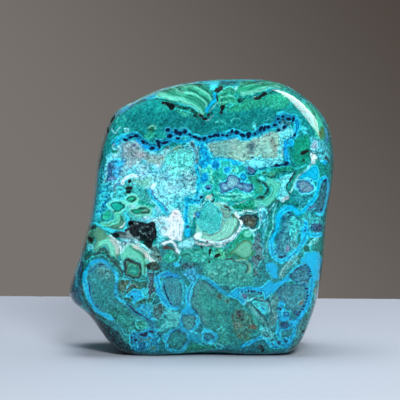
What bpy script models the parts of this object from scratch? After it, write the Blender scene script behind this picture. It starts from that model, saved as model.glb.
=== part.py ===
"""A polished freeform of chrysocolla and malachite, with an open vug lined with crystals.

Run it with: blender --background --python part.py

Frame: +Z up, the show face towards -Y, the origin in the middle of the flat base that the stone
stands on. Sizes are in millimetres, and MM turns them into Blender's metres.
"""

import math
import random

import bmesh
import bpy
import numpy as np
from mathutils import Matrix, Vector, noise

MM = 0.001

# The widest section of the stone, seen from the front: x and z, anticlockwise from the lower left.
OUTLINE = [
    (-58, 19), (-52.2, 11.5), (-46, 4), (-37, -1), (0, -1.6), (39, -1), (48.3, 3), (54.4, 15),
    (58.9, 30), (61.2, 48), (62.5, 66), (65.4, 85), (66, 97), (63.6, 112), (57, 122),
    (43.4, 132), (29.2, 135.6), (2, 135.2), (-18.4, 131.6), (-31.8, 126), (-43.5, 119.5), (-47.9, 111),
    (-52, 97), (-54.2, 80), (-56.9, 64), (-62.1, 46), (-66.4, 33), (-67, 27.5), (-64, 23.6),
]
OUTLINE_CENTRE = (0, 66)
TOP_HEIGHT = 136
FRONT_DEPTH = 25  # from the widest section to the rim of the show face
BACK_DEPTH = 25
FRONT_DOME, BACK_DOME = 0.13, 0.24  # the share by which each face swells towards its middle
TOP_THINNING = 0.24  # the share of the back's depth that is gone at the top

# How the show face turns into the side: angle round the centre from +X, width and depth of the turn.
FRONT_TURN = [
    (-110, 3, 5), (-90, 2.5, 4), (-60, 4, 8), (-30, 4.5, 12), (0, 6, 14), (22, 10, 17),
    (45, 11, 17), (70, 8, 13), (95, 6, 10), (125, 6, 10), (150, 4, 9), (180, 4, 10),
    (205, 7, 13), (222, 8, 14), (240, 5, 8),
]
BACK_TURN_WIDTH, BACK_TURN_DEPTH = 15, 18
BASE_TURN_WIDTH = 4  # the back's turn where it meets the base
FRONT_TAPER = 1.5  # how much narrower the stone is where the front turn begins

RIDGE_HEIGHT = 54  # the show face stands proudest at this height and leans back above and below
RIDGE_FALL, RIDGE_REACH, RIDGE_SOFTNESS = 4.5, 80, 9
WAVE_HEIGHT, WAVE_LENGTH = 0.45, 27  # the soft undulation that grinding by hand leaves

ARCH_RISE, ARCH_MIDDLE, ARCH_HALF_WIDTH = 2.8, 2, 26  # the base lifts a little under the show face
ARCH_FROM, ARCH_TO = -10, -24  # how far back the lift begins, and where it is full

CELLS_ACROSS, CELLS_DEEP = 26, 14  # the mesh of the body
FRONT_TURN_END, BACK_TURN_START = -0.25, 0.2  # shares of the side, from -1 at the front to 1

# Hollows in the show face: name, x, z, half width, half height, depth, tilt in degrees.
VUG = ("vug", -29.0, 62.1, 7.3, 4.6, 7.0, -24)
PITS = [
    ("vug_nook", -34.0, 65.1, 3.4, 2.2, 5.0, -8),
    ("vug_slit", -40.5, 61.0, 7.0, 1.5, 4.5, -10),
    ("brown_pocket", 23.2, 68.7, 4.7, 3.4, 2.6, -12),
    ("fan_pit", -16.4, 124.5, 3.0, 1.6, 1.8, -22),
    ("lobe_pit", 28.4, 128.7, 3.6, 1.4, 1.8, 16),
    ("saddle_pit", 9.8, 123.1, 1.4, 2.4, 1.6, -15),
    ("left_pit", -36.0, 82.3, 1.7, 2.2, 1.6, 8),
]
BALL_DETAIL, PIT_DETAIL = 3, 2
ROUGHNESS = 0.16  # how far a hollow's wall wanders from a true ellipsoid, as a share

CRUST_GAP = 0.35  # clear space between the crystals and the wall of the vug
CRUST_SETBACK = 1.3  # how far the crust stays behind the show face
CRUST_HOLLOW_SHIFT, CRUST_HOLLOW_SHARE = 3.0, 0.86
CRYSTAL_COUNT, CRYSTAL_SEED = 26, 7
CRYSTAL_RADIUS, CRYSTAL_LENGTH = (0.45, 0.95), (1.6, 3.4)
CRYSTAL_SPREAD = 0.78  # the share of the vug's width and height that crystals root in

STONE_COLOUR = (0.05, 0.42, 0.40, 1)
CRYSTAL_COLOUR = (0.16, 0.24, 0.25, 1)


def clear_scene():
    for old in list(bpy.data.objects):
        bpy.data.objects.remove(old)


def new_collection(name):
    made = bpy.data.collections.new(name)
    bpy.context.scene.collection.children.link(made)
    return made


def new_material(name, colour, roughness):
    made = bpy.data.materials.new(name)
    made.use_nodes = True
    surface = made.node_tree.nodes["Principled BSDF"]
    surface.inputs["Base Color"].default_value = colour
    surface.inputs["Roughness"].default_value = roughness
    surface.inputs["Metallic"].default_value = 0
    return made


def new_object(name, bm, collection, material=None):
    mesh = bpy.data.meshes.new(name)
    bm.to_mesh(mesh)
    bm.free()
    made = bpy.data.objects.new(name, mesh)
    collection.objects.link(made)
    if material:
        mesh.materials.append(material)
    return made


def as_cutter(made):
    made.hide_render = True
    made.display_type = "WIRE"
    return made


def cut(body, operation, other=None, collection=None):
    """Joins or cuts body with another object or with all of a collection."""
    boolean = body.modifiers.new(operation.title(), "BOOLEAN")
    boolean.operation = operation
    boolean.solver = "EXACT"
    if collection:
        boolean.operand_type = "COLLECTION"
        boolean.collection = collection
    else:
        boolean.object = other


class Loop:
    """The closed smooth curve through some corners, read by the share of its length."""

    STEPS = 12  # points along each span between two corners

    def __init__(self, corners):
        corners = np.array(corners, float)
        spans = []
        for i in range(len(corners)):
            before, start, end, after = (corners[(i + k) % len(corners)] for k in (-1, 0, 1, 2))
            for step in range(self.STEPS):
                t = step / self.STEPS
                spans.append(
                    0.5
                    * (
                        2 * start
                        + (end - before) * t
                        + (2 * before - 5 * start + 4 * end - after) * t**2
                        + (3 * start - before - 3 * end + after) * t**3
                    )
                )
        self.points = np.array(spans + spans[:1])
        lengths = np.linalg.norm(np.diff(self.points, axis=0), axis=1)
        self.shares = np.concatenate([[0], np.cumsum(lengths)]) / lengths.sum()

    def at(self, share):
        share %= 1
        return Vector(np.interp(share, self.shares, column) for column in self.points.T)


def smooth_step(share):
    share = min(max(share, 0), 1)
    return share * share * (3 - 2 * share)


def share_round(u, v):
    """Where a point of a square cell lies round the square, as a share from its lower left corner."""
    reach = max(abs(u), abs(v))
    if reach == 0:
        return 0
    if v == -reach:
        quarters = (u / reach + 1) / 2
    elif u == reach:
        quarters = 1 + (v / reach + 1) / 2
    elif v == reach:
        quarters = 2 + (1 - u / reach) / 2
    else:
        quarters = 3 + (1 - v / reach) / 2
    return quarters / 4


def front_turn(outwards):
    """Width and depth of the front turn on the side that faces outwards."""
    angle = math.degrees(math.atan2(outwards.y, outwards.x))
    angles, widths, depths = np.array(FRONT_TURN, float).T
    return (float(np.interp(angle, angles, column, period=360)) for column in (widths, depths))


def side_profile(along, outwards):
    """Inset from the outline and depth y of the side, from the front rim at -1 to the back rim at 1."""
    width, depth = front_turn(outwards)
    towards_base = smooth_step((-outwards.normalized().y - 0.25) / 0.5)
    back_width = BACK_TURN_WIDTH + (BASE_TURN_WIDTH - BACK_TURN_WIDTH) * towards_base
    wall_front = depth - FRONT_DEPTH
    wall_back = BACK_DEPTH - BACK_TURN_DEPTH
    if along < FRONT_TURN_END:
        turn = (along + 1) / (FRONT_TURN_END + 1) * math.pi / 2
        return (
            FRONT_TAPER + width * (1 - math.sin(turn)),
            -FRONT_DEPTH + depth * (1 - math.cos(turn)),
        )
    if along > BACK_TURN_START:
        turn = (1 - along) / (1 - BACK_TURN_START) * math.pi / 2
        return (
            back_width * (1 - math.sin(turn)),
            BACK_DEPTH - BACK_TURN_DEPTH * (1 - math.cos(turn)),
        )
    share = (along - FRONT_TURN_END) / (BACK_TURN_START - FRONT_TURN_END)
    return FRONT_TAPER * (1 - share) ** 2, wall_front + (wall_back - wall_front) * share


def stone_point(outline, u, along, v):
    """The place in mm of one point of the body, from its place on a cube whose sides are -1 and 1."""
    centre = Vector(OUTLINE_CENTRE)
    outwards = outline.at(share_round(u, v)) - centre
    inset, y = side_profile(along, outwards)
    radius = outwards.length - inset
    if abs(along) == 1:
        radius *= max(abs(u), abs(v))
    x, z = centre + outwards.normalized() * radius

    middle = 1 - (radius / outwards.length) ** 2
    y *= 1 + (FRONT_DOME if y < 0 else BACK_DOME) * middle
    if y > 0:
        y *= 1 - TOP_THINNING * smooth_step(z / TOP_HEIGHT)
    if y < 0:
        away = math.hypot(z - RIDGE_HEIGHT, RIDGE_SOFTNESS) - RIDGE_SOFTNESS
        y += RIDGE_FALL * away / RIDGE_REACH * -y / FRONT_DEPTH
    y += WAVE_HEIGHT * noise.noise(Vector((x, y, z)) / WAVE_LENGTH)

    lift = smooth_step(1 - abs(x - ARCH_MIDDLE) / ARCH_HALF_WIDTH)
    lift *= smooth_step((y - ARCH_FROM) / (ARCH_TO - ARCH_FROM))
    lift *= smooth_step(1 - z / 12)
    return Vector((x, y, z + ARCH_RISE * lift)) * MM


def cube_cells():
    """A cube from -1 to 1 in cells: CELLS_ACROSS along x and z, CELLS_DEEP along y."""
    bm = bmesh.new()
    bmesh.ops.create_cube(bm, size=2)
    deep = [e for e in bm.edges if abs(e.verts[0].co.y - e.verts[1].co.y) > 1]
    bmesh.ops.subdivide_edges(bm, edges=deep, cuts=CELLS_DEEP - 1, use_grid_fill=True)
    across = [e for e in bm.edges if abs(e.verts[0].co.y - e.verts[1].co.y) < 1e-6]
    bmesh.ops.subdivide_edges(bm, edges=across, cuts=CELLS_ACROSS - 1, use_grid_fill=True)
    return bm


def stone_body():
    """The body before its hollows are cut, sliced off flat at the base."""
    outline = Loop(OUTLINE)
    bm = cube_cells()
    for vert in bm.verts:
        u, along, v = (round(c, 5) for c in vert.co)
        vert.co = stone_point(outline, u, along, v)
    everything = bm.verts[:] + bm.edges[:] + bm.faces[:]
    bmesh.ops.bisect_plane(
        bm, geom=everything, dist=1e-6, plane_co=(0, 0, 0), plane_no=(0, 0, 1), clear_inner=True
    )
    rim = [e for e in bm.edges if e.is_boundary]
    bmesh.ops.contextual_create(bm, geom=rim)
    bmesh.ops.recalc_face_normals(bm, faces=bm.faces[:])
    return bm


def face_depth(body, x, z):
    """y in mm of the show face at x and z."""
    hit, place, _, _ = body.ray_cast(Vector((x, -100, z)) * MM, Vector((0, 1, 0)))
    return place.y / MM if hit else 0


def rough_ball(hollow, face_y, detail, inset=0.0):
    """The ellipsoid of a hollow with a broken wall, drawn in by inset all round."""
    _, x, z, half_width, half_height, depth, tilt = hollow
    sizes = Vector((half_width, depth, half_height))
    bm = bmesh.new()
    bmesh.ops.create_icosphere(bm, subdivisions=detail, radius=1)
    for vert in bm.verts:
        wander = 1 + ROUGHNESS * noise.noise(vert.co * 2.1 + Vector((x, z, depth)))
        vert.co = Vector((c * (s * wander - inset) for c, s in zip(vert.co, sizes)))
    place = Matrix.Translation(Vector((x, face_y, z)) * MM)
    turn = Matrix.Rotation(math.radians(-tilt), 4, "Y")
    bm.transform(place @ turn @ Matrix.Scale(MM, 4))
    return bm


def cut_hollows(stone, body, cutters):
    for hollow in [VUG] + PITS:
        name, x, z = hollow[:3]
        detail = BALL_DETAIL if hollow is VUG else PIT_DETAIL
        ball = rough_ball(hollow, face_depth(body, x, z), detail)
        cut(stone, "DIFFERENCE", as_cutter(new_object("cut_" + name, ball, cutters)))


def crust_envelope(face_y, gap, setback):
    """The vug drawn in by a gap all round, and cut off flat at some way behind its mouth."""
    bm = rough_ball(VUG, face_y, BALL_DETAIL, gap)
    mouth = Vector((0, face_y + setback, 0)) * MM
    everything = bm.verts[:] + bm.edges[:] + bm.faces[:]
    bmesh.ops.bisect_plane(
        bm, geom=everything, dist=1e-6, plane_co=mouth, plane_no=(0, 1, 0), clear_inner=True
    )
    bmesh.ops.contextual_create(bm, geom=[e for e in bm.edges if e.is_boundary])
    bmesh.ops.recalc_face_normals(bm, faces=bm.faces[:])
    return bm


def crust_hollow(face_y):
    """What is taken from the envelope, to leave a bowl of crust."""
    name, x, z, half_width, half_height, depth, tilt = VUG
    share = CRUST_HOLLOW_SHARE
    smaller = (name, x, z, half_width * share, half_height * share, depth * share, tilt)
    return rough_ball(smaller, face_y - CRUST_HOLLOW_SHIFT, BALL_DETAIL)


def crystal(dice, face_y):
    """One six-sided crystal with a pointed end, rooted in the bowl and leaning towards its mouth."""
    _, x, z, half_width, half_height, depth, tilt = VUG
    radius = dice.uniform(*CRYSTAL_RADIUS)
    length = dice.uniform(*CRYSTAL_LENGTH)
    bm = bmesh.new()
    bmesh.ops.create_cone(
        bm, cap_ends=True, segments=6, radius1=radius, radius2=radius, depth=length
    )
    tip = [f for f in bm.faces if f.normal.z > 0.9]
    raised = bmesh.ops.extrude_face_region(bm, geom=tip)["geom"]
    raised = [v for v in raised if isinstance(v, bmesh.types.BMVert)]
    bmesh.ops.delete(bm, geom=tip, context="FACES_ONLY")
    bmesh.ops.translate(bm, verts=raised, vec=(0, 0, radius * 0.9))
    bmesh.ops.scale(bm, verts=raised, vec=(0.25, 0.25, 1), space=Matrix.Identity(4))

    angle = dice.uniform(0, math.tau)
    reach = CRYSTAL_SPREAD * math.sqrt(dice.random())
    across = Vector((math.cos(angle) * half_width, 0, math.sin(angle) * half_height)) * reach
    back = depth * math.sqrt(1 - reach**2)
    root = across + Vector((0, back - CRUST_GAP - 0.4, 0))
    lean = Vector((-across.x * 0.5, -back, -across.z * 0.5)) + Vector(
        dice.uniform(-1.5, 1.5) for _ in range(3)
    )
    facing = lean.to_track_quat("Z", "X").to_matrix().to_4x4()
    turn = Matrix.Rotation(math.radians(-tilt), 4, "Y")
    place = Matrix.Translation(Vector((x, face_y, z)))
    bm.transform(
        Matrix.Scale(MM, 4)
        @ place
        @ turn
        @ Matrix.Translation(root + lean.normalized() * length * 0.3)
        @ facing
    )
    return bm


def vug_crust(face_y, collection, cutters, material):
    rough = crust_envelope(face_y, CRUST_GAP / 2, CRUST_SETBACK / 2)
    crust = new_object("vug_crystals", rough, collection, material)
    hollow = as_cutter(new_object("cut_crust_hollow", crust_hollow(face_y), cutters))
    finished = crust_envelope(face_y, CRUST_GAP, CRUST_SETBACK)
    envelope = as_cutter(new_object("crust_envelope", finished, cutters))
    crystals = bpy.data.collections.new("crystals")
    cutters.children.link(crystals)
    dice = random.Random(CRYSTAL_SEED)
    for number in range(CRYSTAL_COUNT):
        as_cutter(new_object(f"crystal_{number}", crystal(dice, face_y), crystals))
    cut(crust, "DIFFERENCE", hollow)
    cut(crust, "UNION", collection=crystals)
    cut(crust, "INTERSECT", envelope)
    return crust


def main():
    clear_scene()
    specimen = new_collection("chrysocolla_specimen")
    cutters = new_collection("cutters")
    polish = new_material("polished_chrysocolla", STONE_COLOUR, 0.12)
    druse = new_material("dark_druse", CRYSTAL_COLOUR, 0.2)

    stone = new_object("polished_stone", stone_body(), specimen, polish)
    stone.data.shade_smooth()
    bpy.context.view_layer.update()
    body = stone.copy()
    body.data = stone.data.copy()
    cutters.objects.link(as_cutter(body))
    bpy.context.view_layer.update()

    cut_hollows(stone, body, cutters)
    vug_crust(face_depth(body, VUG[1], VUG[2]), specimen, cutters, druse)
    bpy.data.objects.remove(body)


main()
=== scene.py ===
"""Looks of the polished chrysocolla specimen.

The stone's skin carries its minerals as attributes: a colour for each point, and the distance to
the nearest vein or spot of each ink. They are drawn shape by shape, as an inlay is laid, and the
material turns them into crisp edges and adds bands, grain and polish. In places the colour holds
painted shade, painted light, a painted sheen and painted highlights.
Lengths are in millimetres, and MM turns them into Blender's metres.
"""

import contextlib
import itertools
import math
import random

import bpy
import numpy as np
from mathutils import Matrix, Vector


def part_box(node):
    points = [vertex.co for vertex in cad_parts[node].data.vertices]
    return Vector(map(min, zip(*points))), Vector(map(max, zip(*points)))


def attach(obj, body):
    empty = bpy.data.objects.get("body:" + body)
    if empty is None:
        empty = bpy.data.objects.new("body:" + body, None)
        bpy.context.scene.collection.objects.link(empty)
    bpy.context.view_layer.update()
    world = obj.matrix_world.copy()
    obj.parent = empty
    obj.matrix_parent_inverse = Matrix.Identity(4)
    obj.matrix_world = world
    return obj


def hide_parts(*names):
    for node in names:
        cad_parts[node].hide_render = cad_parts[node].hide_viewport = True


MM = 0.001

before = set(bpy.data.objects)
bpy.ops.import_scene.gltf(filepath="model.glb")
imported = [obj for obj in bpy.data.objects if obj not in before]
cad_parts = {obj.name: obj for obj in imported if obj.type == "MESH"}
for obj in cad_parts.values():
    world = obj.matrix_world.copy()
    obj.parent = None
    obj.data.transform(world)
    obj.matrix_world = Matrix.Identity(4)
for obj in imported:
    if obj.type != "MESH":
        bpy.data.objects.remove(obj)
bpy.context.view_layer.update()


# Colours -------------------------------------------------------------------------------------


def rgb(red, green, blue):
    """A display colour of 0 to 255 as the linear colour that nodes and lights work in."""
    shares = np.array([red, green, blue]) / 255
    return np.where(shares <= 0.04045, shares / 12.92, ((shares + 0.055) / 1.055) ** 2.4)


def tone(colour):
    """A plain (red, green, blue) as rgb makes it. A colour that rgb has made stays as it is."""
    return rgb(*colour) if isinstance(colour, tuple) else colour


TEAL = rgb(14, 146, 143)
DEEP_TEAL = rgb(6, 112, 112)
SEA = rgb(20, 126, 134)
TURQUOISE = rgb(50, 186, 184)
PALE_CYAN = rgb(96, 216, 226)
BRIGHT_CYAN = rgb(58, 206, 218)
ICE = rgb(165, 238, 245)
WHITE = rgb(226, 246, 250)
GREY_PINK = rgb(156, 186, 192)
SAGE = rgb(136, 192, 182)
LILAC = rgb(98, 158, 196)
SKY = rgb(14, 176, 232)
COBALT = rgb(12, 96, 156)
NAVY = rgb(8, 44, 84)
INK = rgb(3, 14, 18)
PINE = rgb(8, 62, 54)
MALACHITE = rgb(32, 150, 122)
BROWN = rgb(92, 92, 76)


# Noise and the surface that the pattern is drawn on -------------------------------------------


NOISE_WAVES = 14


def soft_noise(places, size, seed):
    """Smooth noise about 0, seldom beyond -1 or 1, whose lumps are about size mm across."""
    dice = np.random.default_rng(seed)
    waves = dice.normal(size=(3, NOISE_WAVES))
    waves *= math.pi / size * dice.uniform(0.6, 1.4, NOISE_WAVES) / np.linalg.norm(waves, axis=0)
    shifts = dice.uniform(0, math.tau, NOISE_WAVES)
    return np.cos(places @ waves + shifts).sum(axis=1) / math.sqrt(2 * NOISE_WAVES)


CELL_PRIMES = np.array((73856093, 19349663, 83492791))  # large primes that give each cell its dice
MIX_PRIME, WORD = 1274126177, 2**32


def pebbles(places, size, seed):
    """The distance in mm to the nearest of many scattered points, size mm apart: rounded cells."""
    grid = places / size
    cell = np.floor(grid).astype(np.int64)
    nearest = np.full(len(places), math.inf)
    for corner in itertools.product((-1, 0, 1), repeat=3):
        at = cell + corner
        dice = np.bitwise_xor.reduce(at * CELL_PRIMES, axis=1) ^ seed
        point = at.astype(float)
        for axis in range(3):
            dice = (dice ^ dice >> 13) * MIX_PRIME & WORD - 1
            point[:, axis] += dice / WORD
        nearest = np.minimum(nearest, np.linalg.norm(grid - point, axis=1))
    return nearest * size


def smooth_curve(points, closed=False, steps=5):
    """A smooth line through some points, with a few steps from each to the next."""
    points = np.array(points, float)
    count = len(points)
    if closed:
        before, after, later = (np.roll(points, -k, axis=0) for k in (-1, 1, 2))
        start, end = points, after
    else:
        start, end = points[:-1], points[1:]
        before = np.concatenate([points[:1], points[:-2]])
        later = np.concatenate([points[2:], points[-1:]])
    found = []
    for span in range(count if closed else count - 1):
        p0, p1, p2, p3 = before[span], start[span], end[span], later[span]
        bend, turn = 2 * p0 - 5 * p1 + 4 * p2 - p3, 3 * p1 - p0 - 3 * p2 + p3
        for t in np.arange(steps) / steps:
            found.append(0.5 * (2 * p1 + (p2 - p0) * t + bend * t**2 + turn * t**3))
    found.append(points[0] if closed else points[-1])
    return np.array(found)


def step_between(value, low, high):
    """Goes smoothly from 0 at low to 1 at high."""
    share = np.clip((value - low) / (high - low), 0, 1)
    return share * share * (3 - 2 * share)


def oval_reach(x, z, oval):
    """How far places are out from an oval's middle, its edge being 1, and how fast that grows."""
    middle_x, middle_z, half_width, half_height, tilt = oval
    cos, sin = math.cos(math.radians(tilt)), math.sin(math.radians(tilt))
    dx, dz = x - middle_x, z - middle_z
    along, across = dx * cos + dz * sin, dz * cos - dx * sin
    reach = np.hypot(along / half_width, across / half_height)
    return reach, np.hypot(along / half_width**2, across / half_height**2)


SHOW_FACE_END = -6.0  # how far back the show face's own pattern runs
LAYOUT_HEIGHT = 1.7  # how far the stone stands above the layout's own zero
FAR = 9.0  # the distance given to points that a shape is nowhere near
CRISP = 1.1  # only an edge less soft than this is kept as an edge, which gets border lines


class Skin:
    """The pattern on the stone's skin: what is held at every point of its mesh.

    A shape is the distance in mm to its edge, less than 0 inside it. An oval can also be given by
    its numbers in a tuple, and a patch by its corners in a list. Later shapes cover earlier ones.
    x and z are a point's place on the show face, made a little wavy so that no edge is ruled.
    """

    INKS = ("white", "navy", "dark")

    def __init__(self, places, normals):
        self.spread(places, normals)
        coarse, fine = pebbles(places, 3.4, 5) - 1.6, pebbles(places, 1.7, 6) - 0.8
        self.scallop = 0.75 * coarse + 0.35 * fine
        self.colour = np.tile(TEAL, (len(places), 1))
        self.inks = {ink: np.full(len(places), FAR) for ink in self.INKS}
        self.edge = np.full(len(places), FAR)
        self.grain = np.full(len(places), 0.6)
        self.network = np.zeros(len(places))
        self.bands = np.zeros(len(places))
        self.band_strength = np.zeros(len(places))

    def spread(self, places, normals):
        """Finds each point's place on the layout. The show face has its own. Every other side
        borrows another stretch of it, turned over and pulled out of shape."""
        x, y, z = places.T
        self.places = places

        def ripple(*waves):
            return sum(height * soft_noise(places, size, seed) for size, height, seed in waves)

        waves = [ripple((4.5, 0.45, seed), (1.8, 0.16, seed + 1)) for seed in (1, 3)]
        pulls = [ripple((26, 6, seed), (9, 2, seed + 1)) for seed in (11, 13)]
        ragged = [ripple((7, 0.13, 20))]
        ragged += [ripple((9, 0.3, seed), (3, 0.1, seed)) for seed in range(21, 26)]
        shown = np.where(y < SHOW_FACE_END + 20 * ragged[0], 5, -1)
        # Each side's score, which the normal gives, and where its points lie on the layout.
        sides = [
            (shown, x - pulls[0], z - LAYOUT_HEIGHT - pulls[1]),
            (normals[:, 1] + 0.05, 0.92 * x + 5, 131 - 0.95 * z),
            (normals[:, 0], 30 - y, 124 - 0.9 * z),
            (-normals[:, 0], -30 + y, 128 - 0.9 * z),
            (normals[:, 2], 0.9 * x, 82 - y),
            (-normals[:, 2], x, 30 + y),
        ]
        turned = np.array([score + rag for (score, _, _), rag in zip(sides, ragged)])
        side = turned.argmax(axis=0)
        self.hidden = side > 0
        self.x = np.choose(side, [across for _, across, _ in sides]) + pulls[0] + waves[0]
        self.z = np.choose(side, [up for _, _, up in sides]) + pulls[1] + waves[1]

    # Shapes

    def shape(self, given):
        """The shape itself, however it is given."""
        if isinstance(given, tuple):
            return self.oval(*given)
        return self.patch(*given) if isinstance(given, list) else given

    def near(self, points, margin):
        """Which of the skin's points lie within a margin of some others."""
        low, high = points.min(axis=0) - margin, points.max(axis=0) + margin
        across = (self.x > low[0]) & (self.x < high[0])
        return np.flatnonzero(across & (self.z > low[1]) & (self.z < high[1]))

    def line_distance(self, line, near):
        """How far the chosen points of the skin are from a line."""
        spots = np.stack([self.x[near], self.z[near]], axis=1)[:, None]
        starts, steps = line[:-1], np.diff(line, axis=0)
        shares = ((spots - starts) * steps).sum(axis=2) / np.maximum((steps**2).sum(axis=1), 1e-9)
        away = spots - (starts + np.clip(shares, 0, 1)[..., None] * steps)
        return np.sqrt((away**2).sum(axis=2).min(axis=1))

    def vein(self, width, *points):
        """A line of some width along a smooth curve."""
        line = smooth_curve(points)
        near = self.near(line, FAR)
        found = np.full(len(self.x), FAR)
        wobble = 0.5 * min(width / 3, 1)
        found[near] = self.line_distance(line, near) - width / 2 + wobble * self.scallop[near]
        return np.minimum(found, FAR)

    def patch(self, *corners, rough=1.0):
        """The inside of a smooth closed outline; a lower rough gives a smoother edge."""
        line = smooth_curve(corners, closed=True)
        near = self.near(line, FAR)
        distance = self.line_distance(line, near)
        x, z = self.x[near][:, None], self.z[near][:, None]
        (x0, z0), (x1, z1) = line[:-1].T, line[1:].T
        crosses = (z0 > z) != (z1 > z)
        rise = np.where(z1 == z0, 1, z1 - z0)
        left = x < x0 + (z - z0) / rise * (x1 - x0)
        inside = (crosses & left).sum(axis=1) % 2 == 1
        found = np.full(len(self.x), FAR)
        found[near] = np.where(inside, -distance, distance) + rough * self.scallop[near]
        return np.minimum(found, FAR)

    def oval(self, x, z, half_width, half_height, tilt=0):
        """An oval; tilt is in degrees, anticlockwise."""
        reach, slope = oval_reach(self.x, self.z, (x, z, half_width, half_height, tilt))
        found = reach * (reach - 1) / np.maximum(slope, 1e-6)
        return np.minimum(found + min(half_width, half_height, 4) / 5 * self.scallop, FAR)

    def ring(self, shape, width, inset=0):
        """A line of some width along a shape's edge, or inset from it."""
        return np.abs(self.shape(shape) + inset) - width / 2

    def round_spot(self, x, z):
        """The distance to one point, for bands that are arcs round it."""
        return np.hypot(self.x - x, self.z - z)

    # Drawing

    def clear(self, shape, cover):
        """Takes the inks, bands and network off what a new shape covers."""
        for ink in self.INKS:
            self.inks[ink] = np.maximum(self.inks[ink], np.minimum(-shape, FAR))
        self.band_strength *= 1 - cover
        self.network *= 1 - cover

    def fill(self, shape, colour, soft=0.3, grain=None, network=None, amount=1.0):
        """Covers a shape with one colour that fades in over soft mm at its edge. An amount below 1
        is a wash, which leaves the inks and edges as they are."""
        shape = self.shape(shape)
        cover = amount * step_between(-shape, -soft, soft)
        self.colour += cover[:, None] * (tone(colour) - self.colour)
        if amount == 1:
            self.clear(shape, cover)
        if amount == 1 and soft < CRISP:
            self.edge = np.minimum(np.maximum(self.edge, -shape), np.abs(shape))
        if grain is not None:
            self.grain += cover * (grain - self.grain)
        if network is not None:
            self.network += cover * (network - self.network)

    def line(self, width, points, colour, soft=0.3, grain=None, amount=1.0):
        """Fills a vein of some width along some points."""
        self.fill(self.vein(width, *points), colour, soft, grain, amount=amount)

    def strokes(self, colour, width, *lines, amount=0.95):
        """Thin lines of one colour over what is there."""
        for line in lines:
            self.fill(self.vein(width, *line), colour, 0.25, amount=amount)

    def mottle(self, shape, colour, size, seed, level=0.0, soft=0.8, grain=None, amount=1.0):
        """Fills blotches of a size in mm inside a shape; a higher level leaves fewer."""
        blotches = (level - soft_noise(self.places, size, seed)) * size * 0.4
        self.fill(np.maximum(shape, blotches), colour, soft, grain, amount=amount)

    def grade(self, shape, *stops, soft=0.3, grain=None):
        """Covers a shape with colours that change with the depth in mm inside its edge."""
        shape = self.shape(shape)
        depths = [depth for depth, _ in stops]
        shades = np.array([tone(shade) for _, shade in stops])
        depth = np.maximum(-shape, 0)
        colour = np.stack([np.interp(depth, depths, shades[:, k]) for k in range(3)], axis=1)
        self.fill(shape, colour, soft, grain)

    def band(self, shape, depth, pitch, strength=1.0):
        """Bands of a pitch in mm along depth, inside a shape."""
        cover = step_between(-shape, -0.2, 0.5)
        chosen = cover > 0.01
        self.bands[chosen] = depth[chosen] / pitch
        self.band_strength = np.maximum(self.band_strength * (1 - cover), cover * strength)

    def draw(self, ink, *shapes):
        """Lays shapes in one of the inks."""
        for shape in shapes:
            self.inks[ink] = np.minimum(self.inks[ink], self.shape(shape))


# The show face, from its grounds to its smallest spots. Places are x and z in mm. ---------------


# The rim of the brown hollow right of the middle.
POCKET = [
    (17.7, 68.1), (21, 68.3), (24.6, 69.2), (27.2, 68.4), (27.4, 65.4), (26, 62.6), (23.5, 61.9),
    (21.2, 63.2), (19.3, 66.2),
]


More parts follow.
